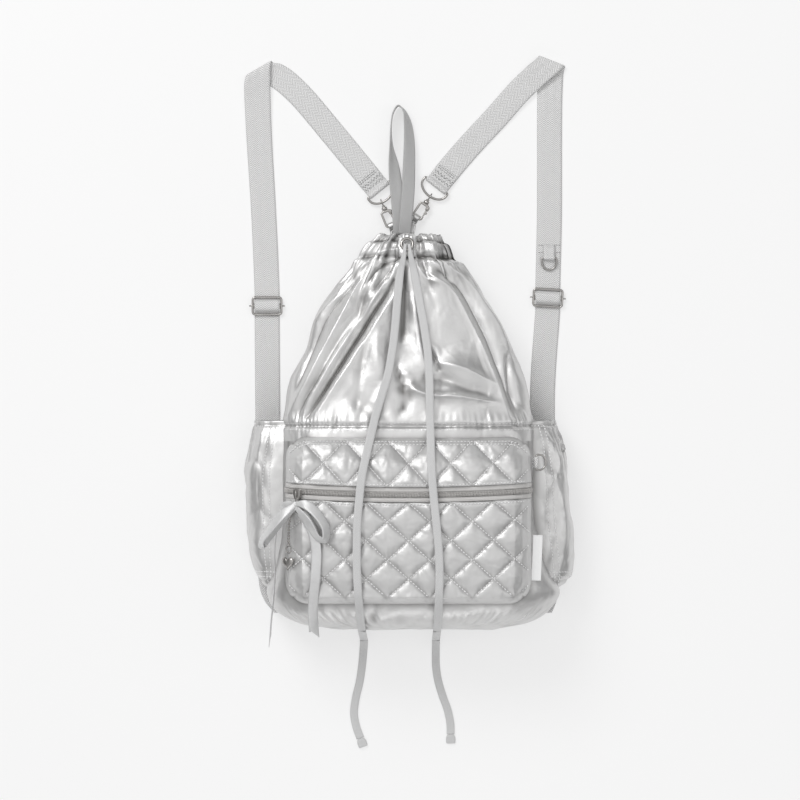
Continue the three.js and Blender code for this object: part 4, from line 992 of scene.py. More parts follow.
@dataclass(frozen=True)
class Fold:
    """A ridge or a hollow along a line on the bag's front.

    line holds its places x, y. Its depth is positive for a ridge. edge is 1 for a soft round fold and less
    for a sharp one, and start and end are the depth's shares at its two ends.
    """

    line: tuple[tuple[float, float], ...]
    width: float
    depth: float
    edge: float = 1.0
    start: float = 0.3
    end: float = 0.3

    def height(self, x: Array, y: Array) -> Array:
        """Height that the fold adds.

        Args:
            x: places across the bag.
            y: places along it.

        Returns:
            The height at each place.
        """
        line = curve(flat_line(np.array(self.line, float)), 6)[:, :2]
        best = np.full(x.shape, 1e9)
        share = np.zeros(x.shape)
        total = len(line) - 1
        for i in range(total):
            a, b = line[i], line[i + 1]
            run = b - a
            t = clamp(((x - a[0]) * run[0] + (y - a[1]) * run[1]) / max(run @ run, 1e-9))
            off = np.hypot(x - a[0] - t * run[0], y - a[1] - t * run[1])
            nearer = off < best
            best = np.where(nearer, off, best)
            share = np.where(nearer, (i + t) / total, share)
        middle = 1 - (2 * share - 1) ** 4
        ends = self.start + (self.end - self.start) * share
        return self.depth * (ends + (1 - ends) * middle) * np.exp(-((best / self.width) ** (2 * self.edge)))


def creases(height: Array, reach: int, scale: float) -> Array:
    """How deep each place lies under its surroundings, from 0 to 1, used as a mask of painted shade.

    Args:
        height: heights on a grid.
        reach: how many points away the surroundings lie.
        scale: the depth that counts as 1.

    Returns:
        The depths.
    """
    around = np.zeros_like(height)
    for step in range(1, reach + 1):
        for axis in (0, 1):
            around += np.roll(height, step, axis=axis) + np.roll(height, -step, axis=axis)
    deep = clamp((around / (4 * reach) - height) / scale)
    return np.stack([deep, np.zeros_like(deep)], axis=-1)


def relief(folds: Iterable[Fold], x: Array, y: Array) -> Array:
    """Heights of several folds together."""
    return sum((fold.height(x, y) for fold in folds), np.zeros(x.shape))


def crumple(points: Array, size: float, seed: float) -> Array:
    """Facets of crumpled nylon, from -1 to 1.

    Args:
        points: places on the cloth.
        size: width of a facet.
        seed: shifts the pattern.

    Returns:
        The relief at each place.
    """
    flat = points.reshape(-1, 3) / size + seed
    out = np.empty(len(flat))
    for i, (a, b, c) in enumerate(flat.tolist()):
        warp = noise.noise((a * 0.6, b * 0.6, c * 0.6))
        near, after = noise.voronoi((a + warp * 0.7, b * 0.8 + warp * 0.4, c))[0][:2]
        out[i] = min(1.0, (after - near) * 1.6) - 0.5 + 0.35 * noise.noise((a * 2.1, b * 2.1, c * 2.1))
    return out.reshape(points.shape[:-1])


def ripple(points: Array, size: float, seed: float) -> Array:
    """Soft waves of cloth, from about -1 to 1.

    Args:
        points: places on the cloth.
        size: length of a wave.
        seed: shifts the pattern.

    Returns:
        The relief at each place.
    """
    flat = (points.reshape(-1, 3) / size + seed).tolist()
    return np.array([noise.fractal(p, 0.9, 2.1, 3) for p in flat]).reshape(points.shape[:-1])


def wavering(shares: Array, pitch: float, seed: float, shift: float = 0.0) -> Array:
    """Noise along one direction, as one row.

    Args:
        shares: places from 0 to 1.
        pitch: waves over the whole length.
        seed: its second coordinate.
        shift: its third one.

    Returns:
        The noise.
    """
    return np.array([noise.noise((s * pitch, seed, shift)) for s in shares])[None, :]


# ---------------------------------------------------------------- the bag's form


@dataclass
class BagForm:
    """The bag's smooth shape, by places along it and round it."""

    length: float = 391.0
    width: float = 256.0
    depth: float = 88.0
    origin: float = 0.2737
    seam: float = 0.5166
    belly: float = 0.34
    sink: float = 7.0
    front_square: float = 2.9
    back_square: float = 3.4
    gather_depth: float = 3.6
    gathers: int = 12
    neck: float = 226.0
    sections: tuple[tuple[float, ...], ...] = (
        (0, 0.6, 0.68, 0.28, 0.52, 0), (0.0085, 0.76, 0.85, 0.12, 0.68, 0),
        (0.0265, 0.93, 1.0, 0.02, 0.8, 0), (0.0563, 1.05, 1.11, 0, 0.9, 0), (0.0946, 1.1, 1.18, 0, 0.96, 0),
        (0.1586, 1.05, 1.09, 0, 0.99, 0), (0.2737, 1.0, 1.02, 0, 1, 0), (0.4015, 0.985, 1.0, 0, 0.99, 0),
        (0.5166, 0.975, 0.985, 0, 0.93, 0), (0.565, 0.955, 0.95, 0, 0.88, 0),
        (0.6317, 0.92, 0.9, 0, 0.82, 0.1), (0.7084, 0.8, 0.81, 0, 0.74, 0.25),
        (0.7852, 0.73, 0.71, 0, 0.67, 0.45), (0.849, 0.61, 0.58, 0, 0.63, 0.7),
        (0.908, 0.45, 0.455, 0.01, 0.6, 0.9), (0.951, 0.37, 0.36, 0.02, 0.58, 1),
        (0.982, 0.29, 0.32, 0.04, 0.54, 0.9), (1, 0.2, 0.25, 0.1, 0.44, 0.7),
    )

    def column(self, index: int, along: Array) -> Array:
        """One column of the sections at places along the bag."""
        table = np.array(self.sections, float)
        return smooth_table(table[:, 0], table[:, index], np.asarray(along, float))

    def y(self, along: Array) -> Array:
        """Places along Y of shares along the bag."""
        return (along - self.origin) * self.length

    def along(self, y: Array) -> Array:
        """Share along the bag of places along Y."""
        return np.asarray(y, float) / self.length + self.origin

    def points(self, along: Array, turn: Array) -> Array:
        """Points of the bag's smooth outer face.

        Args:
            along: shares along the bag.
            turn: shares of a turn from the right side over the front.

        Returns:
            The points.
        """
        cos, sin = np.cos(2 * np.pi * turn), np.sin(2 * np.pi * turn)
        left, right = self.column(1, along), self.column(2, along)
        low, high = self.column(3, along) * self.depth, self.column(4, along) * self.depth
        gather = self.column(5, along)
        middle = low + (high - low) * self.belly
        half = np.where(cos >= 0, right, left) * self.width / 2
        rise = np.where(sin >= 0, high - middle, middle - low + self.sink * (1 - gather))
        power = 2 / np.where(sin >= 0, self.front_square, self.back_square)
        x = half * np.sign(cos) * np.abs(cos) ** power
        z = rise * np.sign(sin) * np.abs(sin) ** power
        back = np.maximum(0, -sin)
        near = rising(self.y(along), self.neck, 10)
        wave = np.cos(2 * np.pi * self.gathers * turn + 1.3 * np.sin(6 * np.pi * turn + 1)) * near
        wave = wave * (1 - 0.8 * bell(turn, 0.25, 0.03))
        stretch = 1 + gather * self.gather_depth * wave * (1 - 0.8 * back) / np.hypot(x, z)
        high_enough = np.maximum(low * (1 - gather), middle + z * stretch)
        return np.stack(np.broadcast_arrays(x * stretch, self.y(along), high_enough), axis=-1)


# ---------------------------------------------------------------- routes

STRAP_LEFT = (
    (-121, -92, 7.99, 0, 1), (-131, -80, 2.39, 0, 1), (-136, -66, 0, 0, 1),
    (-139.49, 40, 0, 0, 1), (-140.3, 130.01, 0, 0, 1), (-140.8, 203, 0, 0, 1),
    (-140.8, 206.8, 0.05, 0, 1), (-140.8, 210.8, 4.05, 0, 1), (-140.8, 214, 4.3, 0, 1),
    (-140.8, 217.2, 4.05, 0, 1), (-140.8, 221.2, 0.05, 0, 1), (-140.8, 225, 0, 0, 1),
    (-142.5, 269.99, 0, 1, 1), (-145, 319.99, 0, 2, 1), (-148.6, 380.01, 0.8, 2, 1.02),
    (-150.3, 420.01, 2.6, 7, 1.05), (-150.6, 438, 4.2, 18, 1.09), (-150, 448.01, 4.2, 27, 1.12),
    (-148.6, 452, 2.39, 30, 1.13), (-147, 450, 0.41, 32, 1.12), (-138, 447.5, 0, 40, 1.08),
    (-126, 441.01, 0, 45, 1.02), (-108.01, 425.02, 0, 41, 1), (-79, 391, 0, 39, 1),
    (-53, 359.49, 0, 39, 1), (-34.3, 336.49, 0, 39, 1),
)
STRAP_RIGHT = (
    (131, -92, 9, 0, 1), (136, -80, 2.8, 0, 1), (137, -66, 0, 0, 1),
    (136, 40, 0, 0, 1), (134.5, 130.01, 0, -3, 1), (139.8, 211, 0, -3, 1),
    (139.8, 214.8, 0.05, -3, 1), (139.8, 218.8, 4.05, -3, 1), (139.8, 222, 4.3, -3, 1),
    (139.8, 225.2, 4.05, -3, 1), (139.8, 229.2, 0.05, -3, 1), (139.8, 233, 0, -3, 1),
    (141.3, 300.01, 0, 0, 1), (141.5, 399.99, 0, 0, 1), (141.9, 432.02, 0, -8, 1.02),
    (142.6, 450, 0, -18, 1.08), (144, 457.51, 0.6, -20, 1.1), (144, 458.99, 2.6, -21, 1.1),
    (139.49, 454.5, 4.4, -25, 1.08), (128, 444.49, 4.2, -35, 1.03), (112, 429.51, 2.39, -41, 1),
    (88, 402.5, 0.6, -41, 1), (62, 374.5, 0, -39, 1), (45.5, 355.5, 0, -38, 1),
    (33.6, 340.8, 0, -38, 1),
)
GRAB_ROUTE = (
    (-8, 284.8, 10.59, 0), (-9, 300.01, 10.59, 2), (-11.6, 330, 10.4, 8),
    (-14, 352.02, 9.59, 36), (-16.6, 373.99, 8.61, 76), (-16.81, 394.01, 8.4, 90),
    (-14.6, 406.99, 8.4, 90), (-9.8, 413.48, 8.4, 90), (-4.4, 409.49, 8.4, 98),
    (-0.6, 398, 8.4, 122), (1.2, 380.01, 8.8, 142), (1, 352.02, 10, 160),
    (0, 326.02, 11.4, 172), (-2, 302.01, 12.6, 178), (-3.49, 284.8, 12.6, 180),
)
BOW_LOOPS = (
    (
        (-110.01, 18.5, 115, 20), (-121.01, 10, 117, 35), (-134.01, -5, 113, 50),
        (-142.01, -16.5, 106, 60), (-141.51, -22, 101, 60), (-134.01, -13, 101, 60),
        (-122.01, 3, 108, 50), (-110.01, 16, 112, 30),
    ),
    (
        (-108.01, 19.5, 115, -10), (-99.01, 19, 120.5, -20), (-87.01, 9, 124.5, -30),
        (-79.51, -4, 125, -40), (-80.51, -15, 123.5, -50), (-87.01, -13.5, 121.6, -55),
        (-97.01, 2, 120.6, -40), (-108.01, 15.5, 114.5, -20),
    ),
)
BOW_TAILS = (
    (
        (-112.41, 17.4, 108.5, 0), (-119.41, 16.4, 104.6, 10), (-123.61, 10, 96, 60),
        (-127.01, -2, 88, 88), (-130.01, -24, 84, 90), (-130.01, -50, 80, 92),
        (-131.51, -74, 76, 94), (-134.01, -96, 70, 96), (-135.51, -116, 64, 96),
    ),
    (
        (-103.61, 12, 112.6, 0), (-97.61, 3, 114.4, 4), (-92.01, -9, 115.4, 10),
        (-89.01, -24, 115.8, 10), (-89.51, -48, 115, 0), (-91.51, -70, 110.6, -10),
        (-92.51, -88, 104, -15), (-91.51, -107, 96, -20),
    ),
)
CORD_LEFT = (
    (-2.9, 273.6, 47), (-2.9, 273, 55), (-3.4, 268, 58.6), (-4.6, 260, 58.6), (-7.2, 249, 56.6),
    (-9, 236, 58), (-10.8, 216, 62), (-12.8, 192, 66.5), (-15.4, 170, 71.5), (-19.6, 146, 76.5),
    (-26, 124, 80.5), (-32, 104, 84.8), (-36.2, 86, 96), (-40.8, 66, 109), (-45, 46, 116.2),
    (-47.4, 24, 117.4), (-49.4, 0, 118.6), (-49.8, -24, 118.6), (-49.6, -46, 117.8), (-48.4, -68, 115.4),
    (-47.4, -82, 105), (-46.6, -92, 90), (-45.8, -102.5, 71), (-45, -110, 51), (-44.4, -115, 29),
    (-44, -121, 9.5), (-44.6, -131, 1.5), (-46.2, -148, 1.5), (-48.6, -163, 1.5), (-52.2, -178, 1.5),
    (-54, -193, 1.5), (-51.6, -207, 1.5), (-47.6, -218, 1.5),
)
CORD_RIGHT = (
    (0.9, 273.6, 47), (0.9, 273, 55), (1.6, 268, 58.6), (2.8, 260, 58.6), (5.4, 249, 56.6),
    (8.2, 234, 58.4), (11.8, 214, 61.6), (15.6, 192, 66.8), (19, 168, 72), (20.6, 144, 77),
    (21, 120, 81.8), (21.2, 104, 85), (21.6, 86, 96.4), (22, 66, 109.4), (23, 46, 116.4),
    (24.8, 24, 117.6), (27.2, 0, 118.8), (29.4, -24, 118.8), (30.2, -46, 118), (29.8, -68, 115.6),
    (29.4, -82, 105.2), (29, -92, 90.4), (28.6, -102.5, 71.4), (28.2, -110, 51.4), (28, -115, 29),
    (27.8, -121, 9.5), (27.8, -131, 1.5), (28, -146, 1.5), (30, -160, 1.5), (34.6, -176, 1.5),
    (39.6, -190, 1.5), (42.4, -204, 1.5), (42.6, -214, 1.5),
)


# ---------------------------------------------------------------- sub-assemblies


@dataclass(frozen=True)
class Finish:
    """A material and the slot that it belongs to."""

    material: Material
    slot: Slot


def finish(look: Any, slot: Slot) -> Any:
    """Field that holds a finish, its material made once."""
    return field(default_factory=lambda: Finish(look.material(), slot))


@dataclass
class Finishes:
    """Every finish of the bag."""

    nylon: Finish = finish(SilverNylon(), Slot.NYLON)
    quilt: Finish = finish(SilverNylon("quilted_nylon", 0.7, 0.58, 0.66, 0.44, 0.13), Slot.NYLON)
    webbing: Finish = finish(Herringbone(), Slot.WEBBING)
    grab: Finish = finish(Herringbone("grab_webbing", 0.64, 0.46, 13.0, 1.1), Slot.WEBBING)
    cord: Finish = finish(FlatCord(), Slot.CORD)
    ribbon: Finish = finish(SatinRibbon(), Slot.RIBBON)
    tape: Finish = finish(WovenTape(), Slot.ZIP)
    coil: Finish = finish(ZipCoil(), Slot.ZIP)
    nickel: Finish = finish(PolishedMetal(), Slot.HARDWARE)
    label: Finish = finish(WhiteLabel(), Slot.LABEL)
    thread: Finish = finish(Thread("silver_thread", 0.96), Slot.NYLON)
    strap_thread: Finish = finish(Thread("strap_thread", 0.3), Slot.WEBBING)


def dress(shape: Shape, name: str, look: Finish, *solids: str, body: str = "bag") -> bpy.types.Object:
    """Makes a piece, gives it its body, and hides the solids that it stands for.

    Args:
        shape: the piece's points and faces.
        name: its name.
        look: its finish.
        solids: the solids.
        body: the body that it rides on.

    Returns:
        The piece.
    """
    made = shape.object(name, look.material)
    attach(made, body)
    if solids:
        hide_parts(*solids)
    LOG.info("%s: %d points", made.name, len(made.data.vertices))
    return made


@dataclass
class Studio:
    """Camera, floor and soft lights."""

    eye: Point = (-0.008, 0.120, 3.5)
    lens: float = 157.5
    key: float = 30.0
    fill: float = 3.4
    low: float = 7.0
    sky: float = 1.02
    horizon: float = 0.1

    def camera(self) -> None:
        """Sets the camera over the bag."""
        lens = bpy.data.cameras.new("camera")
        lens.lens, lens.sensor_width = self.lens, 36.0
        made = bpy.data.objects.new("camera", lens)
        made.location = self.eye
        bpy.context.scene.collection.objects.link(made)
        bpy.context.scene.camera = made

    def lamp(
        self, name: str, place: Point, size: tuple[float, float], power: float,
        aim: Point = (0, 0.1, 0.05),
    ) -> None:
        """Adds one softbox.

        Args:
            name: its name.
            place: where it stands.
            size: its width and height.
            power: its power.
            aim: the point that it faces.
        """
        data = bpy.data.lights.new(name, "AREA")
        data.shape, data.size, data.size_y, data.energy = "RECTANGLE", *size, power
        made = bpy.data.objects.new(name, data)
        made.location = place
        made.rotation_euler = (Vector(aim) - Vector(place)).to_track_quat("-Z", "Y").to_euler()
        bpy.context.scene.collection.objects.link(made)

    def lights(self) -> None:
        """Sets the sky and the softboxes."""
        scene = bpy.context.scene
        scene.view_settings.view_transform = "Standard"
        shader = Shader("studio", world=True)
        where = shader.value(shader.node("TexCoord"), "Generated")
        x, y, z = (shader.value(shader.node("SeparateXYZ", Vector=where), k) for k in range(3))
        ceiling = z.at_least(0.0) ** 1.6
        side = 1.0 + 0.16 * (y - x)
        level = (self.horizon + (self.sky - self.horizon) * ceiling) * side
        back = shader.node("Background", Color=(1, 1, 1, 1), Strength=level)
        out = shader.node("OutputWorld")
        shader.tree.links.new(back.outputs[0], out.inputs[0])
        scene.world = shader.material
        self.lamp("key_softbox", (-1.2, 1.9, 1.9), (1.4, 1.0), self.key)
        self.lamp("fill_softbox", (1.7, 0.3, 1.6), (0.7, 1.2), self.fill)
        self.lamp("foot_softbox", (0.1, -2.0, 0.8), (1.8, 0.6), self.low, (0, -0.15, 0.04))

    def floor(self) -> None:
        """Lays the floor."""
        shape = Shape()
        across = np.linspace(-6000, 6000, 13)
        x, y = np.meshgrid(across, across)
        shape.grid(np.stack([x, y, np.full(x.shape, -0.2)], axis=-1))
        made = shape.object("floor", StudioFloor().material())


@dataclass
class Drawcord:
    """One flat free end of the drawcord, with its folded end."""

    side: Side
    route: tuple[Point, ...]
    finishes: Finishes
    width: float = 8.0
    bunched: float = 3.2
    thickness: float = 2.0
    end_length: float = 9.0
    end_width: float = 9.4
    end_thickness: float = 2.9
    steep: float = 0.35

    def section(self, width: float) -> Array:
        """Section of the cord, with a shallow groove along its middle."""
        section = oval_section(width, self.thickness, 20, 2.6)
        groove = 1 - 0.3 * bell(section[:, 0], 0, 0.12 * width)
        return section * np.stack([np.ones(len(section)), groove], axis=1)

    def build(self) -> None:
        """Builds the cord and its end."""
        route = np.array(self.route, float)
        given = np.minimum(self.width, self.bunched + np.maximum(0, np.arange(len(route)) - 2) * 2.0)
        smooth = evenly(curve(np.column_stack([route, given]), 8), 1.6)
        line, widths = smooth[:, :3], smooth[:, 3]
        run = heading(line)
        across = np.stack([-run[:, 1], run[:, 0], np.zeros(len(run))], axis=1)
        across[np.hypot(run[:, 0], run[:, 1]) < self.steep] = (-1, 0, 0)
        across = unit(across)
        sway = np.array([0.12 * noise.noise((0.03 * i, self.side.sign * 9.0, 0)) for i in range(len(line))])
        across = unit(across + np.cross(run, across) * sway[:, None])
        sections = np.stack([self.section(w) for w in widths])
        shape = Shape().sweep(line, across, np.cross(run, across), sections)
        name = self.side.value
        cord = dress(shape, f"drawcord_{name}_braid", self.finishes.cord, f"drawcord_{name}")
        end = self.end(line[-1], unit(route[-1] - route[-2]))
        [tuple(p) for p in (line[::5] * MM).tolist()] + [tuple((line[-1] * MM).tolist())]

    def end(self, at: Array, run: Array) -> bpy.types.Object:
        """The folded and sewn end of the cord.

        Args:
            at: where the cord ends.
            run: the cord's direction there.

        Returns:
            The piece.
        """
        share = np.array([0, 0.06, 0.16, 0.3, 0.5, 0.72, 0.9, 0.97, 1.0])
        swell = np.array([0.6, 0.76, 0.86, 0.98, 1.02, 1.0, 0.98, 0.94, 0.8])
        thick = np.array([0.5, 0.8, 0.95, 0.9, 1, 0.9, 1, 0.8, 0.5])
        line = at + run * (0.3 + share * self.end_length)[:, None]
        line[:, 2] = self.end_thickness / 2 + 0.05
        across = np.tile(unit(np.array([-run[1], run[0], 0.0])), (len(line), 1))
        up = np.tile([0.0, 0, 1.0], (len(line), 1))
        base = oval_section(self.end_width, self.end_thickness, 20, 2.8)
        shape = Shape().sweep(line, across, up, sized(base, swell, thick))
        name = self.side.value
        return dress(shape, f"cord_end_{name}_fold", self.finishes.cord, f"cord_end_{name}")


@dataclass
class MainBag:
    """The padded bag from its foot to the gathered neck."""

    finishes: Finishes
    form: BagForm = field(default_factory=BagForm)
    rows: tuple[tuple[float, float, int], ...] = ((0.12, 0.47, 44), (0.47, 1.0, 176))
    columns: int = 384
    crowding: float = 0.052
    large_facet: float = 46.0
    small_facet: float = 19.0
    waves: float = 38.0
    folds: tuple[Fold, ...] = (
        Fold(((-14, 238), (-52, 178), (-100, 104)), 2.6, -6.5, 0.7, 0.4, 0.5),
        Fold(((-20, 240), (-60, 180), (-106, 108)), 4.0, 4.2, 0.6, 0.3, 0.4),
        Fold(((-8, 232), (-44, 176), (-92, 104)), 5.0, 3.4, 0.6, 0.3, 0.3),
        Fold(((-40, 252), (-74, 184), (-121, 98)), 7.0, 5.5, 0.55, 0.4, 0.5),
        Fold(((-32, 246), (-64, 186), (-112, 104)), 6.0, -2.8, 0.8, 0.2, 0.4),
        Fold(((-52, 236), (-80, 204), (-103, 152), (-112, 128)), 4.5, -5.5, 0.6, 0.3, 0.3),
        Fold(((-58, 232), (-90, 200), (-112, 150)), 5.0, 3.6, 0.6),
        Fold(((-46, 224), (-47, 200), (-52, 184)), 6.5, -4.2, 0.9, 0.5, 0.6),
        Fold(((-5, 250), (-4, 214), (-6, 176)), 4.2, -5.5, 0.7, 0.6, 0.2),
        Fold(((4, 226), (8, 196), (14, 160)), 3.4, 3.2, 0.55, 0.2, 0.2),
        Fold(((-26, 206), (-30, 168), (-26, 140)), 9.0, 3.4, 0.8),
        Fold(((-12, 154), (-5, 134), (-2, 122), (-8, 106)), 3.4, -4.6, 0.7, 0.3, 0.3),
        Fold(((20, 172), (28, 156), (30, 148)), 3.2, -3.4, 0.7, 0.3, 0.3),
        Fold(((-8, 150), (4, 132), (16, 126), (50, 123), (88, 118)), 3.6, 5.0, 0.55, 0.4, 0.2),
        Fold(((10, 140), (34, 142), (58, 132), (80, 126)), 6.5, -3.4, 0.9, 0.4, 0.2),
        Fold(((24, 158), (56, 150), (86, 136)), 6.0, 3.6, 0.6, 0.2, 0.3),
        Fold(((14, 248), (40, 232), (62, 196), (84, 148), (104, 88)), 3.0, 3.0, 0.5, 0.3, 0.4),
        Fold(((24, 252), (50, 234), (72, 196), (92, 148), (111, 88)), 4.6, -6.0, 0.7, 0.3, 0.6),
        Fold(((32, 258), (60, 236), (84, 200), (104, 156)), 4.0, 3.8, 0.55, 0.3, 0.2),
        Fold(((98, 164), (101, 140), (108, 112)), 3.4, -4.6, 0.7, 0.4, 0.4),
        Fold(((-84, 150), (-100, 124), (-112, 98)), 4.0, -3.0, 0.7),
        Fold(((-60, 130), (-40, 112), (-20, 104)), 8.0, -2.4),
        Fold(((-2, 262), (-22, 254), (-44, 232)), 2.6, -3.4, 0.6),
        Fold(((-6, 270), (-26, 266), (-50, 248)), 2.4, 2.6, 0.5),
        Fold(((14, 262), (32, 256), (44, 242)), 2.6, -3.4, 0.6),
        Fold(((10, 252), (18, 240), (30, 236)), 2.6, 2.8, 0.5),
        Fold(((-14, 258), (-24, 240), (-34, 228)), 2.6, -3.0, 0.6),
    )
    nodes: tuple[str, ...] = ("lower_bag", "drawstring_collar")
    foot_rows: int = 32
    collar_seam: float = 95.0
    neck_start: float = 238.0
    channel: tuple[float, float] = (262.0, 279.0)
    sewn: tuple[float, ...] = (97.0, 90.5, 256.0)
    pocket: tuple[float, float, float, float] = (98.0, -59.0, 82.0, 20.0)
    flat_panel: Point = (27.0, 256.0, 286.0)
    panel_depth: float = 4.5
    painted_shade: Array = field(default_factory=lambda: np.zeros((1, 1, 2)))

    def shell(self) -> tuple[Array, Array]:
        """The bag's outer face with its folds and crumples, and its painted shade.

        Returns:
            The grid of points and its normals.
        """
        foot = self.rows[0][0] * (1 - np.cos(np.linspace(0, np.pi / 2, self.foot_rows)))
        along = np.concatenate([foot] + [np.linspace(low, high, n + 1)[1:] for low, high, n in self.rows])
        turn = np.arange(self.columns) / self.columns
        turn = turn + self.crowding * np.cos(2 * np.pi * turn) - self.crowding
        grid = self.form.points(along[:, None], turn[None, :])
        normals = -grid_normals(grid, ring=True)
        outward = (normals[..., 2] * (grid[..., 2] - 40)).sum() + (normals[..., 0] * grid[..., 0]).sum()
        normals = normals if outward > 0 else -normals
        x, y = grid[..., 0], grid[..., 1]
        front = clamp((normals[..., 2] - 0.05) / 0.5) ** 0.8
        neck = self.form.column(5, along)[:, None]
        collar = rising(y, self.collar_seam + 6, 5)
        lift = relief(self.folds, x, y) * front * collar
        body = grid * np.array([1.0, 0.62, 1.0])
        lift += crumple(body, self.large_facet, 3.0) * (1.9 + 0.7 * collar) * (1 - 0.5 * neck)
        lift += crumple(body, self.small_facet, 11.0) * (0.25 + 0.6 * neck)
        lift += ripple(grid, self.waves, 5.0) * 0.6
        lift += self.gathers(y, turn, front)
        side, low, high = self.flat_panel
        panel = clamp((x - side) / 9) * clamp((y - low) / 6) * clamp((high - y) / 4)
        lift -= self.panel_depth * panel
        rest = clamp((grid[..., 2] - 1.0) / 9.0)
        # Painted shade: darker in creases, more so in the gathered neck, on the flat right panel and round
        # the front pocket's edges.
        self.painted_shade = creases(lift, 5, 2.1)
        dark = clamp(self.painted_shade[..., 0] * (1 + 0.9 * rising(y, self.neck_start, 7)) + 0.4 * panel)
        self.painted_shade[..., 0] = clamp(dark + 0.75 * self.pocket_shadow_mask(x, y) * front)
        grid = grid + normals * (lift * rest)[..., None]
        grid[..., 2] = np.maximum(grid[..., 2], 0.15)
        return grid, normals

    def pocket_shadow_mask(self, x: Array, y: Array) -> Array:
        """How near each place is to the front pocket's foot and sides, or to its top, as a mask of painted
        shadow.

        Args:
            x: places across.
            y: places along.

        Returns:
            The nearness, 1 at the pocket's edge.
        """
        side, foot, top, corner = self.pocket
        over, down = np.abs(x) - side, foot - y
        off = np.hypot(np.maximum(over, 0), np.maximum(down, 0)) + np.minimum(np.maximum(over, down), 0)
        rim = np.exp(-np.abs(off - corner) / 2.6) * (y < top - 2)
        return rim + np.exp(-np.abs(y - top) / 2.0) * (np.abs(x) < side + 2)

    def gathers(self, y: Array, turn: Array, front: Array) -> Array:
        """Puckers at the drawstring's channel, the collar's seam and the side pockets' rims.

        Args:
            y: places along.
            turn: shares of a turn of the columns.
            front: how far each place faces the front.

        Returns:
            The heights.
        """
        wave = wavering(turn, 70, 0) + 0.7 * wavering(turn, 33, 7)
        puckers = wavering(turn, 140, 3)
        out = -2.1 * (bell(y, self.channel[0], 3.0) + bell(y, self.channel[1], 2.2))
        out += 3.1 * wave * rising(y, self.neck_start - 6, 9)
        out += -2.0 * bell(y, self.collar_seam, 2.2) + 1.6 * puckers * bell(y, self.collar_seam + 4, 8)
        out += 1.5 * puckers * bell(y, -96, 9) * front
        return out

    def build(self) -> None:
        """Builds the bag, its inner neck and its seams."""
        grid, normals = self.shell()
        last = grid[-1]
        middle = last.mean(0)
        inner = []
        for depth, close in ((0.6, 0.05), (2.5, 0.13), (8, 0.2), (20, 0.3), (34, 0.42), (46, 0.7)):
            row = middle + (last - middle) * (1 - close)
            row[:, 1] = last[:, 1] - depth
            row[:, 2] += 0.05 * depth
            inner.append(row)
        # The inner neck gets painted shade of 0.8.
        cloth = np.concatenate([self.painted_shade, np.tile([0.8, 0.0], (len(inner), self.columns, 1))])
        shape = Shape().grid(np.concatenate([grid, np.stack(inner)]), ring=True, caps=True, cloth=cloth)
        dress(shape, "bag_body", self.finishes.nylon, *self.nodes)
        self.seams(grid, normals)

    def seams(self, grid: Array, normals: Array) -> None:
        """Sews the collar's seam and the drawstring's channel.

        Args:
            grid: the bag's outer face.
            normals: its normals.
        """
        sewing = Sewing(2.6, 1.1, 0.24)
        every = np.arange(grid.shape[1])
        for level in self.sewn:
            row = np.argmin(np.abs(grid[..., 1] - level), axis=0)
            front = normals[row, every, 2] > -0.2
            line, way = grid[row, every][front], normals[row, every][front]
            order = np.argsort(-line[:, 0])
            line, way = line[order], way[order]
            keep = np.concatenate([[True], np.diff(line[:, 0]) < -0.2])
            sewing.seam(line[keep], way[keep], 0.12)
        dress(sewing.shape, "bag_seams", self.finishes.thread)


@dataclass
class Neck:
    """The placket and the metal eyelet that the drawcord leaves by."""

    finishes: Finishes
    place: Point = (-1.0, 273.5, 51.6)
    slope: float = -17.0
    half_width: float = 9.4
    half_length: float = 12.0
    seam: float = 7.4

    def frame(self) -> Matrix:
        """The placket's frame."""
        return Matrix.Translation(self.place) @ Matrix.Rotation(math.radians(self.slope), 4, "X")

    def build(self) -> None:
        """Builds the placket, its stitches and the eyelet."""
        u, v = np.meshgrid(np.linspace(-1, 1, 25), np.linspace(-1, 1, 29))
        x, y = u * self.half_width, v * self.half_length
        x = x * (1 - 0.3 * clamp(v) ** 2 - 0.12 * clamp(-v) ** 2)
        z = 0.9 - 3.4 * np.abs(u) ** 2.6 - 1.8 * np.abs(v) ** 4
        z = z + 0.55 * np.sin(x * 1.5 + 0.4 * np.sin(y * 0.3)) * clamp(np.abs(v) * 1.6 - 0.4)
        z = z + 0.35 * ripple(np.stack([x, y, x * 0], axis=-1), 6, 3)
        off = np.hypot(x, y)
        z = z - 0.8 * bell(off, 0, 8.6, 8) - 4.0 * bell(off, 0, 3.4, 4)
        frame = self.frame()
        cloth = Shape().sheet(moved(np.stack([x, y, z], axis=-1), frame), -1.6)
        dress(cloth, "neck_placket_cloth", self.finishes.nylon, "neck_placket")
        sewing = Sewing(1.8, 0.8, 0.22)
        for side in (-self.seam, self.seam):
            line = np.stack([np.full(20, side), np.linspace(-11, 11, 20), np.full(20, 0.45)], axis=1)
            sewing.seam(moved(line, frame), np.tile(np.array(frame)[:3, 2], (20, 1)), 0.2)
        dress(sewing.shape, "placket_stitches", self.finishes.thread)
        profile = np.array([
            (4.2, 0.1), (4.3, 0.9), (4.8, 1.5), (5.6, 1.75), (6.5, 1.45), (7.1, 0.9), (7.4, 0.35), (7.2, 0.0),
            (5.8, -0.1), (4.6, -0.1),
        ])
        radius, height = profile[None].transpose(2, 0, 1)
        angle = around(48)[:, None]
        ring = np.stack(
            np.broadcast_arrays(radius * np.cos(angle), radius * np.sin(angle), height + 0.3), axis=-1
        )
        shape = Shape().grid(moved(ring, frame), ring=True, loop=True)
        dress(shape, "eyelet_ring", self.finishes.nickel, "eyelet")


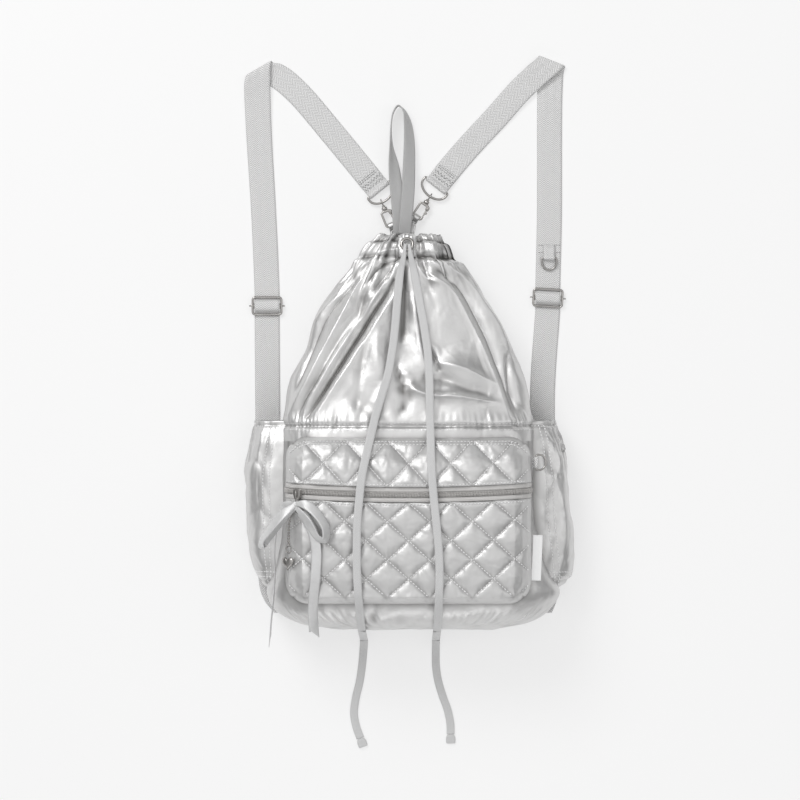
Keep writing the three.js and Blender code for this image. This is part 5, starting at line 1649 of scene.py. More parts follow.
@dataclass
class FrontPocket:
    """The quilted pocket with its zip."""

    finishes: Finishes
    width: float = 238.0
    top: float = 84.0
    foot: float = -79.0
    x: float = 0.3
    depth: float = 88.0
    rise: float = 24.0
    corner: float = 22.0
    pitch: float = 20.6
    zip_y: float = 28.0
    zip_band: float = 15.5
    zip_bow: float = 4.0
    tape: float = 1.0
    coil: float = 2.5
    puff: float = 3.4
    wall: tuple[tuple[float, float], ...] = (
        (0.0, 0.0), (0.8656, 0.0), (0.93, 0.045), (0.975, 0.115), (1.002, 0.26), (1.012, 0.5), (1.0, 0.8),
        (0.985, 1.0),
    )
    wall_steps: tuple[int, ...] = (0, 10, 8, 8, 6, 5, 4)
    hem: tuple[tuple[float, float], ...] = (
        (-3.6, 0.06), (-2.6, 0.12), (-1.4, 0.22), (-0.2, 0.34), (0.7, 0.5), (0.4, 0.7), (-1.9, 1),
    )
    face_share: float = 0.93
    row_step: float = 0.95
    padding: float = 2.6
    stitch_lift: float = 0.35
    charm: tuple[float, float] = (-116.0, -18.0)
    painted_shade: Array = field(default_factory=lambda: np.zeros((1, 1, 2)))

    @property
    def half(self) -> float:
        """Half of its width."""
        return self.width / 2

    def height(self, x: Array, y: Array, drop: Array) -> Array:
        """Height of the pocket's face before its quilting.

        Args:
            x: places across from its middle.
            y: places along.
            drop: 0 on the face and 1 at the seat.

        Returns:
            The heights.
        """
        across = np.minimum(1, np.abs(x) / self.half)
        up = clamp((y - self.zip_y) / (self.top - self.zip_y))
        down = clamp((self.zip_y - y) / (self.zip_y - self.foot))
        face = self.depth + self.rise * (1 - 0.3 * across**4 - 0.85 * up**2 - 0.16 * down**3)
        return face * (1 - drop) + self.depth * 0.55 * drop

    def round_corner(self, x: Array, y: Array) -> tuple[Array, Array]:
        """Moves places in a square corner onto arcs of the rounded one.

        Args:
            x: places across from the middle.
            y: places along from the middle.

        Returns:
            The moved places.
        """
        half_y = (self.top - self.foot) / 2
        dx = np.abs(x) - (self.half - self.corner)
        dy = np.abs(y) - (half_y - self.corner)
        inside = (dx > 0) & (dy > 0)
        scale = np.where(inside, np.maximum(dx, dy) / np.maximum(np.hypot(dx, dy), 1e-6), 1.0)
        return (
            np.where(inside, np.sign(x) * (self.half - self.corner + dx * scale), x),
            np.where(inside, np.sign(y) * (half_y - self.corner + dy * scale), y),
        )

    def wall_places(self, face_steps: int) -> tuple[Array, Array]:
        """Places across the pocket from seat to seat.

        Args:
            face_steps: points from the middle to the end of the flat face.

        Returns:
            The places and their drops, 0 on the face and 1 at the seat.
        """
        wall = np.array(self.wall)
        shares = list(np.linspace(0, wall[1, 0], face_steps))
        drops = [0.0] * face_steps
        for i in range(1, len(wall) - 1):
            for k in range(1, self.wall_steps[i] + 1):
                t = k / self.wall_steps[i]
                shares.append(wall[i, 0] + (wall[i + 1, 0] - wall[i, 0]) * t)
                drops.append(wall[i, 1] + (wall[i + 1, 1] - wall[i, 1]) * t)
        share, drop = np.array(shares), np.array(drops)
        return np.concatenate([-share[:0:-1], share]) * self.half, np.concatenate([drop[:0:-1], drop])

    def panel(self, sign: int, steps: int, odd: int) -> tuple[Array, Array, Array]:
        """One quilted panel.

        Args:
            sign: 1 over the zip and -1 under it.
            steps: rows of diamond halves.
            odd: shifts the diamonds by half a pitch.

        Returns:
            Its grid, and the two diamond coordinates of each point.
        """
        start = self.zip_y + sign * self.zip_band / 2
        end = self.top if sign > 0 else self.foot
        length = abs(end - start)
        face = length * self.face_share
        xs, across_drop = self.wall_places(96)
        flat_rows = start + sign * np.linspace(0, face, int(round(face / self.row_step)))
        off, level = np.array(self.hem).T
        x, y = np.meshgrid(xs, np.concatenate([flat_rows, end + sign * off]))
        along_drop = np.concatenate([0 * flat_rows, level])
        both = 1 - (1 - across_drop[None, :]) * (1 - along_drop[:, None])
        middle = (self.top + self.foot) / 2
        px, py = self.round_corner(x, y - middle)
        row = np.abs(py + middle - start) / (face / steps)
        lane = px / self.pitch
        bow = self.zip_bow * (px / self.half) ** 2 * (1 - np.abs(y - start) / length)
        place = py + middle + bow
        a, b = lane + row + odd, lane - row + odd
        fa, fb = np.abs(a / 2 - np.round(a / 2)) * 2, np.abs(b / 2 - np.round(b / 2)) * 2
        full = (fa * (2 - fa)) ** 0.5 * (fb * (2 - fb)) ** 0.5
        flat = np.stack([px, place, px * 0], axis=-1)
        edge = clamp(np.minimum(row * 22, (steps * 1.035 - row) * 22) / 5) ** 0.7
        side = clamp((self.half * 0.99 - np.abs(x)) / 9)
        near = np.exp(-np.minimum(fa, fb) / 0.2) * (1 - both) ** 4
        charm = 1 - 0.8 * bell(px, self.charm[0], 7) * bell(py + middle, self.charm[1], 30, 4)
        lift = self.puff * full * (0.35 + 0.65 * edge) * side * charm
        lift += (ripple(flat, 7, 2.0) * 0.5 + crumple(flat, 5.5, 9.0) * 0.55) * near * (1 - both)
        lift += crumple(flat, 13, 4.0) * 0.75 * full * (1 - both)
        lift -= 0.5 * near
        z = self.height(px, place, both) + lift * (1 - both) + ripple(flat, 18, 7.0) * 0.8 * (1 - both)
        z += 0.9 * crumple(flat * np.array([1, 1, 0]), 8, 5.0) * both * (1 - both) * 3
        z += 0.7 * bell(np.abs(y - start), 0, 1.4) * (1 - both) - 2.2 * (1 - charm)
        # Painted shade along the quilting lines and on the pocket's walls, carried in the cloth map.
        dark = 0.3 * bell(np.minimum(fa, fb), 0, 0.1) * clamp((0.1 - both) / 0.06)
        dark = clamp(dark + 0.8 * clamp((both - 0.25) / 0.4))
        self.painted_shade = np.stack([dark, 0 * dark], axis=-1)
        return np.stack([self.x + px, place, z], axis=-1), a, b

    def build(self) -> None:
        """Builds both panels, their stitching and the zip."""
        sewing = Sewing(2.1, 1.3, 0.5)
        for sign, steps, odd, name in ((1, 2, 1, "upper"), (-1, 5, 0, "lower")):
            grid, a, b = self.panel(sign, steps, odd)
            shape = Shape().sheet(grid, -self.padding * sign, self.painted_shade)
            made = dress(shape, f"quilted_panel_{name}", self.finishes.quilt, f"pocket_{name}_panel")
            self.quilting(sewing, grid, a, b, sign)
            self.border(sewing, grid, sign)
        dress(sewing.shape, "pocket_stitches", self.finishes.thread)
        self.zip()

    def quilting(self, sewing: Sewing, grid: Array, a: Array, b: Array, sign: int) -> None:
        """Sews the diamonds' lines.

        Args:
            sewing: the thread.
            grid: the panel.
            a: its first diamond coordinate.
            b: its second one.
            sign: 1 over the zip and -1 under it.
        """
        reach = (np.abs(grid[0, :, 0] - self.x) < self.half * 0.985).nonzero()[0]
        normals = grid_normals(grid) * -sign
        normals = normals * np.sign(normals[..., 2].mean())
        for field_of in (a, b):
            for level in range(-14, 20, 2):
                line, way = [], []
                for i in range(2, grid.shape[0] - 9):
                    values = field_of[i, reach]
                    if values.min() < level < values.max():
                        j = int(reach[np.argmin(np.abs(values - level))])
                        line.append(grid[i, j])
                        way.append(normals[i, j])
                if len(line) > 6:
                    sewing.seam(np.array(line), np.array(way), self.stitch_lift)

    def border(self, sewing: Sewing, grid: Array, sign: int) -> None:
        """Sews the edge seams of one panel.

        Args:
            sewing: the thread.
            grid: the panel.
            sign: 1 over the zip and -1 under it.
        """
        rows = (2,) if sign < 0 else (2, grid.shape[0] - 9, grid.shape[0] - 12)
        inside = (np.abs(grid[0, :, 0] - self.x) < self.half * 0.955).nonzero()[0]
        for row in rows:
            sewing.seam(grid[row, inside], None, self.stitch_lift)

    def band(
        self, low: float, high: float, recess: float, rows: int, crown: float = 0.0
    ) -> tuple[Array, Array]:
        """A band across the pocket along the zip.

        Args:
            low: its lower edge from the zip's line.
            high: its upper edge.
            recess: how far it lies under the pocket's face.
            rows: parts between its edges.
            crown: how far its middle stands proud.

        Returns:
            Its grid and its places on the material.
        """
        xs, drops = self.wall_places(60)
        x, o = np.meshgrid(xs, np.linspace(low, high, rows))
        d = np.broadcast_to(drops[None, :], x.shape)
        across = (o - low) / (high - low)
        z = self.height(x, np.full(x.shape, self.zip_y), d) - recess + crown * np.sin(np.pi * across)
        y = self.zip_y + o + self.zip_bow * (x / self.half) ** 2
        return np.stack([self.x + x, y, z], axis=-1), np.stack([o - low, x], axis=-1)

    def zip(self) -> None:
        """Builds the tapes and the coil."""
        edge = self.zip_band / 2 - 0.3
        slit = self.coil + 0.3
        for name, low, high in (("upper", slit, edge), ("lower", -edge, -slit)):
            grid, cloth = self.band(low, high, 1.7, 7, 0.25)
            shape = Shape().sheet(grid, -self.tape, cloth)
            dress(shape, f"zip_tape_{name}_weave", self.finishes.tape, f"zip_tape_{name}")
        bed, cloth = self.band(-self.coil, self.coil, 1.5, 5)
        shape = Shape().sheet(bed, -self.tape, cloth)
        line = evenly(bed[2], 0.5)
        run = heading(line)
        face = unit(np.cross(run, np.array([0, 1.0, 0])))
        face = face * np.sign(face[len(face) // 2, 2])
        reach = np.array([-0.5, 0.1, 1.2, 2.2, 2.45])
        rise = np.array([0.5, 0.95, 0.95, 0.7, 0.1])
        tooth = oval_section(1.05, 0.9, 6)
        for i in range(0, 3 * (len(line) // 3), 3):
            for side in (-1, 1):
                at = line[min(len(line) - 1, i + (side > 0))]
                middle = at + np.array([0.0, side, 0.0]) * reach[:, None] + face[i] * rise[:, None]
                shape.sweep(middle, np.tile(run[i], (5, 1)), np.tile(face[i], (5, 1)), tooth)
        dress(shape, "zip_coil_rows", self.finishes.coil, "zip_coil")


@dataclass
class SidePocket:
    """A thin side pocket with a gathered mouth."""

    side: Side
    finishes: Finishes
    form: BagForm = field(default_factory=BagForm)
    mouth: float = 100.0
    foot: float = -68.0
    reach: float = 165.0
    seat: float = 0.88
    lift: float = 1.8
    cloth: float = 1.2
    sections: tuple[tuple[float, ...], ...] = (
        (0, 0.82, 0.88, 0.2, 0.4, 0), (0.035, 0.885, 0.955, 0.03, 0.52, 0), (0.1, 0.92, 0.99, 0, 0.58, 0),
        (0.22, 0.95, 1.0, 0, 0.62, 0), (0.45, 0.975, 0.98, 0, 0.64, 0.1), (0.68, 0.985, 0.97, 0, 0.62, 0.25),
        (0.86, 0.95, 0.94, 0, 0.58, 0.8), (0.95, 0.93, 0.9, 0, 0.54, 1), (1, 0.92, 0.885, 0, 0.52, 1),
    )
    painted_shade: Array = field(default_factory=lambda: np.zeros((1, 1, 2)))

    def grid(self) -> Array:
        """The pocket's outer face, by its places along and round it.

        Returns:
            The grid of points.
        """
        table = np.array(self.sections)
        along = np.concatenate([np.linspace(0, 0.1, 16)[:-1], np.linspace(0.1, 1, 110)])
        column = [smooth_table(table[:, 0], table[:, i], along)[:, None] for i in range(1, 6)]
        y = (self.foot + (self.mouth - self.foot) * along)[:, None]
        bag = self.form.column(1 if self.side is Side.LEFT else 2, self.form.along(y))
        seat = bag * self.form.width / 2 * self.seat
        out = column[0 if self.side is Side.LEFT else 1] * self.reach
        top, low = column[3] * self.form.depth, self.lift + column[2] * self.form.depth
        middle = low + (top - low) * 0.42
        share = np.linspace(0, 1, 96)[None, :]
        angle = np.radians(90 - 180 * share)
        pulse = np.sin(np.pi * share)
        wave = wavering(share[0], 11, 4.0, self.side.sign)
        fine = wavering(share[0], 26, 9.0, self.side.sign)
        span = out - seat + column[4] * pulse * (4.2 * wave + 2.4 * fine)
        x = seat + span * np.cos(angle).clip(0) ** 0.62
        rise = np.where(angle >= 0, top - middle, middle - low)
        z = middle + rise * np.sign(angle) * np.abs(np.sin(angle)) ** 0.8
        grid = np.stack(np.broadcast_arrays(self.side.sign * x, y, z), axis=-1)
        normals = grid_normals(grid)
        if (normals[..., 0] * self.side.sign).mean() < 0:
            normals = -normals
        ease = clamp(share / 0.12) * clamp((1 - share) / 0.2)
        slack = crumple(grid * np.array([1, 0.45, 1]), 34, 2.0 + self.side.sign) * 3.2
        slack += crumple(grid * np.array([1, 0.6, 1]), 15, 6.0) * 0.6 + ripple(grid, 30, 1.0) * 0.8
        rim = 1.2 * bell(y, self.mouth - 4.5, 1.6) + 1.0 * bell(y, self.foot + 9, 1.6)
        slack *= 1.35 if self.side is Side.RIGHT else 1.1
        # Painted shade in the pocket's creases, and on the right a painted dark gap along its front edge.
        self.painted_shade = creases((slack - rim) * ease, 4, 2.0)
        if self.side is Side.RIGHT:
            self.painted_shade[..., 0] += 0.9 * bell(share, 0, 0.045)
        grid = grid + normals * ((slack - rim) * ease)[..., None]
        grid[..., 2] = np.maximum(grid[..., 2], self.lift)
        return grid

    def build(self) -> None:
        """Builds the pocket and its seams."""
        grid = self.grid()
        name = self.side.value
        face = grid if self.side is Side.LEFT else grid[:, ::-1]
        painted_shade = self.painted_shade if self.side is Side.LEFT else self.painted_shade[:, ::-1]
        cloth = Shape().sheet(face, self.cloth, painted_shade)
        dress(cloth, f"side_pocket_{name}_cloth", self.finishes.nylon, f"side_pocket_{name}")
        normals = grid_normals(face)
        normals = normals * np.sign((normals[..., 2] * (face[..., 2] > 30)).mean() or 1)
        sewing = Sewing(2.4, 1.0, 0.42)
        n = face.shape[1] - 1
        front = [10, 15] if self.side is Side.LEFT else [n - 10, n - 15]
        for j in front:
            sewing.seam(face[3:-3, j], normals[3:-3, j], 0.1)
        for i in (12, 16, len(face) - 5):
            sewing.seam(face[i, 3:-3], normals[i, 3:-3], 0.1)
        dress(sewing.shape, f"side_pocket_{name}_stitches", self.finishes.thread)


RING_CORNER = 1.6
STRAP_RING = (30.8, 15.5, 2.4)


def ring_line(width: float, height: float, wire: float, steps: int = 40) -> Array:
    """Middle line of a ring with one straight side along the second axis.

    Args:
        width: its outer width.
        height: its outer height.
        wire: the wire's diameter.
        steps: points of its round part.

    Returns:
        The closed line.
    """
    half, corner = width / 2 - wire / 2, RING_CORNER
    bulge = height - wire - 2 * corner
    angle = np.radians(np.linspace(90, -90, steps))
    arc = np.stack([corner * 2 + bulge * np.cos(angle), half * np.sin(angle)], axis=1)
    turn = np.radians(np.linspace(180, 90, 5))
    first = np.stack([corner + corner * np.cos(turn), half - corner + corner * np.sin(turn)], axis=1)
    second = first[::-1] * np.array([1, -1])
    bar = np.stack([np.zeros(8), np.linspace(-half + corner, half - corner, 10)[1:-1]], axis=1)
    return flat_line(np.concatenate([bar, first, arc, second]))


def eye_path(hole: float, layer: float, tail: float, centre: float, start: float) -> Array:
    """Middle line of a strip sewn back round a bar that lies along the second axis.

    Args:
        hole: radius of the free space round the bar.
        layer: the strip's thickness.
        tail: how far its end lies behind the bar.
        centre: height of the tail's middle.
        start: where the lower layer begins behind the bar.

    Returns:
        The line.
    """
    radius = hole + layer / 2
    low, high = centre - layer / 2, centre + layer / 2
    rest = [(-start, low), (-start * 0.5, low)] if start > 0 else []
    first = math.degrees(math.asin(max(-1.0, low / radius)))
    last = 180 - math.degrees(math.asin(min(1.0, high / radius)))
    arc = [
        (radius * math.cos(math.radians(t)), radius * math.sin(math.radians(t)))
        for t in np.linspace(first, min(last, 150), 16)
    ]
    run = [(-hole - layer * 1.4, high + 0.15), (-tail * 0.5, high), (-tail, high)]
    return np.array([(x, 0.0, z) for x, z in rest + arc + run])


def eye_strip(path: Array, frame: Matrix, section: Array) -> Shape:
    """A strip along a line in the first and third axes of a frame.

    Args:
        path: the line.
        frame: the frame.
        section: the strip's section.

    Returns:
        The shape.
    """
    line = moved(path, frame)
    across = np.tile(np.array(frame)[:3, 1], (len(line), 1))
    return Shape().sweep(line, across, unit(np.cross(across, heading(line))), section)


@dataclass
class Strap:
    """One shoulder strap with its adjuster, ring and sewn-back end."""

    side: Side
    rows: tuple[tuple[float, ...], ...]
    ring: Point
    slider: Point
    finishes: Finishes
    width: float = 25.0
    web: float = 1.4
    wire: float = STRAP_RING[2]
    adjuster: tuple[float, float, float, float] = (31.0, 19.5, 1.2, 2.6)
    zigzag: float = 3.2

    def ring_frame(self) -> Matrix:
        """Frame of the ring's bar."""
        return place_at(self.ring[0], self.ring[1], self.wire / 2 + 0.3 + self.web + 0.1, self.ring[2])

    def build(self) -> None:
        """Builds all of the strap's pieces."""
        rows = np.array(self.rows, float)
        rows[:, 2] += self.web / 2
        line = evenly(curve(rows, 8), 2.0)
        frame = self.ring_frame()
        hole = self.wire / 2 + 0.3
        path = eye_path(hole, self.web, 19.0, -hole, 6.0)
        angle = self.ring[2] + 90
        if math.cos(math.radians(angle)) < 0:
            angle -= 180
        end = np.column_stack([moved(path, frame), np.full(len(path), angle), np.full(len(path), 0.98)])
        both = evenly(np.concatenate([line[:-3], end]), 1.2)
        at, turn, spread = both[:, :3], np.radians(both[:, 3]), both[:, 4]
        at[:, 2] = np.maximum(at[:, 2], self.web / 2 + 0.02)
        across = np.stack([np.cos(turn), np.sin(turn), np.zeros(len(turn))], axis=1)
        sections = sized(strip_section(self.width, self.web, 12), spread, np.ones(len(spread)))
        shape = Shape().sweep(at, across, unit(np.cross(across, heading(at))), sections)
        name = self.side.value
        dress(shape, f"strap_{name}_webbing", self.finishes.webbing, f"strap_{name}")
        self.stitches(frame)
        self.hardware(frame)

    def stitches(self, frame: Matrix) -> None:
        """Sews the strap's end behind the ring.

        Args:
            frame: the ring's frame.
        """
        sewing = Sewing(1.9, 0.6, 0.3)
        half = self.width / 2 - 1.6
        rows = [np.array([(x, -half), (x, half)]) for x in (-17.4, -15.4)]
        teeth, odd = np.linspace(-half, half, 13), np.arange(13) % 2
        rows += [np.column_stack([x + self.zigzag * odd, teeth]) for x in (-12.6, -8.4)]
        for row in rows:
            line = np.column_stack([row, np.full(len(row), -0.08)])
            sewing.seam(moved(line, frame), np.tile(np.array(frame)[:3, 2], (len(row), 1)), 0.12)
        if self.side is Side.RIGHT:
            for y in (267.5, 274.8):
                line = np.stack([np.linspace(130, 152, 12), np.full(12, y), np.full(12, self.web)], axis=1)
                sewing.seam(line, None, 0.15)
        dress(sewing.shape, f"strap_{self.side.value}_stitches", self.finishes.strap_thread)

    def hardware(self, frame: Matrix) -> None:
        """Builds the ring and the adjuster.

        Args:
            frame: the ring's frame.
        """
        name = self.side.value
        ring = Shape().wire(moved(ring_line(*STRAP_RING), frame), self.wire / 2, 14, loop=True)
        dress(ring, f"strap_ring_{name}_wire", self.finishes.nickel, f"strap_ring_{name}")
        width, height, radius, corner = self.adjuster
        x, y = width / 2 - radius, height / 2 - radius
        turn = np.radians(np.linspace(0, 90, 7))
        quarter = np.stack([x - corner + corner * np.cos(turn), y - corner + corner * np.sin(turn)], axis=1)
        outline = np.concatenate([
            (quarter * np.array([sx, sy]))[:: sx * sy] for sx, sy in ((1, 1), (-1, 1), (-1, -1), (1, -1))
        ])
        at = place_at(self.slider[0], self.slider[1], 3.0, self.slider[2])
        shape = Shape().wire(moved(flat_line(outline), at), radius, 14, loop=True)
        reach = width / 2 + 2.4
        swell = np.array([0.55, 0.95] + [1.0] * 11 + [0.95, 0.55])
        for half, count, section in (
            (x, 9, oval_section(5.4, 1.6, 16, 3.2)), (reach, 15, sized(circle(1.0, 12), swell)),
        ):
            bar = moved(np.stack([np.linspace(-half, half, count), *np.zeros((2, count))], axis=1), at)
            up = np.tile([0, 0, 1.0], (count, 1))
            shape.sweep(bar, np.cross(up, heading(bar)), up, section)
        dress(shape, f"adjuster_{name}_frame", self.finishes.nickel, f"adjuster_{name}")


def soften(outline: Array) -> Array:
    """An outline with its corners rounded.

    Args:
        outline: the outline.

    Returns:
        The rounded outline.
    """
    out = []
    for i, here in enumerate(outline):
        before, after = outline[i - 1] - here, outline[(i + 1) % len(outline)] - here
        sizes = np.linalg.norm(before), np.linalg.norm(after)
        reach = 0.35 * min(*sizes, 3.0)
        a, b = here + before / max(sizes[0], 1e-6) * reach, here + after / max(sizes[1], 1e-6) * reach
        out += [(1 - t) ** 2 * a + 2 * t * (1 - t) * here + t * t * b for t in (0, 0.25, 0.5, 0.75, 1)]
    return np.array(out)


def plate(outline: Array, thickness: float, bevel: float) -> Shape:
    """A flat plate with rounded edges.

    Args:
        outline: its outline, anticlockwise.
        thickness: its thickness along the third axis.
        bevel: radius of its edges.

    Returns:
        The shape.
    """
    ahead, behind = np.roll(outline, -1, axis=0), np.roll(outline, 1, axis=0)
    run = unit(ahead - behind)
    inward = np.stack([-run[:, 1], run[:, 0]], axis=1)
    turn = np.radians([90, 60, 30, 0])
    insets = bevel * (1 - np.cos(turn))
    heights = thickness / 2 - bevel * (1 - np.sin(turn))
    levels = list(zip(insets, heights)) + list(zip(insets[::-1], -heights[::-1]))
    rows = [np.column_stack([outline + inward * inset, np.full(len(outline), z)]) for inset, z in levels]
    return Shape().grid(np.stack(rows), ring=True, caps=True)


@dataclass
class SnapHook:
    """A snap hook with its swivel eye, its lever and the fabric loop that it holds."""

    side: Side
    ring: Point
    turn: float
    loop: tuple[Point, ...]
    finishes: Finishes
    z: float = 4.1
    length: float = 26.2
    half: float = 5.8
    bar: float = 2.2
    gate: float = 12.0

    def frame(self) -> Matrix:
        """The hook's frame, on its ring's round side."""
        width, height, wire = STRAP_RING
        half, bulge = (width - wire) / 2, height - wire - 2 * RING_CORNER
        angle = math.atan(math.tan(math.radians(self.turn)) * half / bulge)
        local = Vector((RING_CORNER * 2 + bulge * math.cos(angle), half * math.sin(angle), 0))
        at = place_at(self.ring[0], self.ring[1], 0, self.ring[2]) @ local
        return place_at(at.x, at.y, self.z, self.ring[2] + self.turn)

    def round_bar(self, shape: Shape, frame: Matrix, rows: Sequence[tuple[float, float]]) -> None:
        """Adds a turned piece along the first axis.

        Args:
            shape: takes the piece.
            frame: the hook's frame.
            rows: its places and radii.
        """
        place, radius = np.array(rows).T
        line = moved(np.column_stack([place, np.zeros((len(place), 2))]), frame)
        across, up = (np.tile(axis, (len(line), 1)) for axis in np.array(frame)[:3, 1:3].T)
        shape.sweep(line, across, up, sized(circle(1.0, 20), radius))

    def build(self) -> None:
        """Builds the hook, its gate and its loop."""
        frame = self.frame()
        m = np.array(frame)
        shape = Shape().wire(moved(upright_circle(3.25, 32), frame), 0.66, 12, loop=True)
        self.round_bar(shape, frame, [
            (3.4, 0.9), (3.6, 1.5), (4.1, 1.9), (4.6, 1.5), (5.0, 1.5), (5.3, 2.6), (5.6, 2.9), (7.6, 2.9),
            (8.0, 2.7), (8.4, 2.2), (8.7, 1.0),
        ])
        inner, far = self.half - self.bar, self.length - self.bar
        outline = np.array([
            (8, -2.9), (10, -5.8), (24.2, -5.8), (26.2, -3.8), (26.2, 3.8), (24.2, 5.8), (20.6, 5.8),
            (20.6, inner), (far - 0.8, inner), (far, inner - 0.8), (far, -inner + 0.8), (far - 0.8, -inner),
            (11.4, -inner), (10.8, -inner + 0.6), (10.8, 2.4), (14, 2.8), (14, 6.4), (10, 6.4), (8, 2.9),
        ])
        shape.attach(plate(soften(outline), 3.2, 0.7), frame)
        pin = np.array([(self.gate, self.half - self.bar / 2, z) for z in (-1.9, -1.75, 1.75, 1.9)])
        section = sized(circle(1.0, 16), np.array([0.7, 1.1, 1.1, 0.7]))
        shape.sweep(moved(pin, frame), np.tile(m[:3, 0], (4, 1)), np.tile(m[:3, 1], (4, 1)), section)
        name = self.side.value
        dress(shape, f"snap_hook_{name}_body", self.finishes.nickel, f"snap_hook_{name}")
        self.lever(frame)
        self.fabric(frame)

    def lever(self, frame: Matrix) -> None:
        """Builds the gate that turns on the pin.

        Args:
            frame: the hook's frame.
        """
        gate, y, end = self.gate, self.half - self.bar / 2, 20.3
        outline = np.array([
            (gate - 1.6, y - 0.6), (gate - 0.6, y - 1.6), (gate + 1, y - 1.4), (end, y - 0.8), (end, y + 0.8),
            (17.8, y + 0.8), (17.5, y + 2.1), (15.6, y + 2.1), (15.2, y + 0.9), (gate + 1, y + 1.5),
            (gate - 0.6, y + 1.6), (gate - 1.6, y + 0.6),
        ])
        shape = Shape().attach(plate(soften(outline), 1.3, 0.3), frame)
        name, nickel = self.side.value, self.finishes.nickel
        dress(shape, f"snap_gate_{name}_lever", nickel, f"snap_gate_{name}", body=f"hook_gate_{name}")

    def fabric(self, frame: Matrix) -> None:
        """Builds the loop that the hook holds.

        Args:
            frame: the hook's frame.
        """
        far = self.length - self.bar / 2
        layer, hole, width = 1.2, 2.4, 6.4
        back = frame @ place_at(far, 0, 0, 180)
        tail = hole + layer * 3.4
        shape = eye_strip(eye_path(hole, layer, tail, 0.0, tail), back, strip_section(width, layer, 6))
        start = [frame @ Vector((far + hole + layer * k, 0, 0)) for k in (2.4, 4.4)]
        line, side, up = strip_frames(np.array([(*p, 0.0) for p in (*start, *self.loop)]), 8)
        widen = 1 + 0.75 * np.linspace(0, 1, len(line)) ** 0.7
        section = strip_section(width - 0.2, 2 * layer - 0.2, 16)
        sections = sized(section, widen)
        sections[..., 1] += 0.55 * np.sin(section[:, 0] * 2.6) * np.linspace(0.3, 1, len(line))[:, None]
        shape.sweep(line, side, up, sections)
        shape.maps = [0 * part for part in shape.maps]
        name = self.side.value
        dress(shape, f"hook_loop_{name}_cloth", self.finishes.nylon, f"hook_loop_{name}")


@dataclass
class SmallRings:
    """The small ring on the right strap and the one on the bag's side."""

    finishes: Finishes
    wire: float = 2.0

    def one(self, name: str, frame: Matrix, height: float, tail: float, centre: float, dip: float) -> None:
        """Builds one ring and its tab.

        Args:
            name: the ring's node.
            frame: its bar's frame.
            height: its height.
            tail: length of the tab behind the bar.
            centre: height of the tab's middle.
            dip: degrees that the ring leans down.
        """
        hole, layer, width = self.wire / 2 + 0.3, 1.0, 11.0
        ring = moved(ring_line(17, height, self.wire), frame @ Matrix.Rotation(math.radians(dip), 4, "Y"))
        dress(Shape().wire(ring, self.wire / 2, 12, loop=True), f"{name}_wire", self.finishes.nickel, name)
        tab = eye_strip(eye_path(hole, layer, tail, centre, tail), frame, strip_section(width, layer, 8))
        dress(tab, f"{name}_tab_weave", self.finishes.webbing, f"{name}_tab")

    def build(self) -> None:
        """Builds both rings."""
        hole = self.wire / 2 + 0.3
        z = 1.4 + 0.3 + hole + 1.0
        self.one("strap_small_ring", place_at(141.0, 262.0, z, -90), 14.0, 13.0, -hole, 5.0)
        self.one("side_ring", place_at(125.2, 59.0, 79.0, 0, 14), 11.6, 4.0, 0.0, 0.0)


@dataclass
class GrabLoop:
    """The grab loop at the neck."""

    rows: tuple[tuple[float, ...], ...]
    finishes: Finishes
    width: float = 13.0
    thickness: float = 1.5

    def build(self) -> None:
        """Builds the loop."""
        line, across, up = strip_frames(np.array(self.rows), 10)
        shape = Shape().sweep(line, across, up, strip_section(self.width, self.thickness, 10))
        dress(shape, "grab_loop_webbing", self.finishes.grab, "grab_loop")


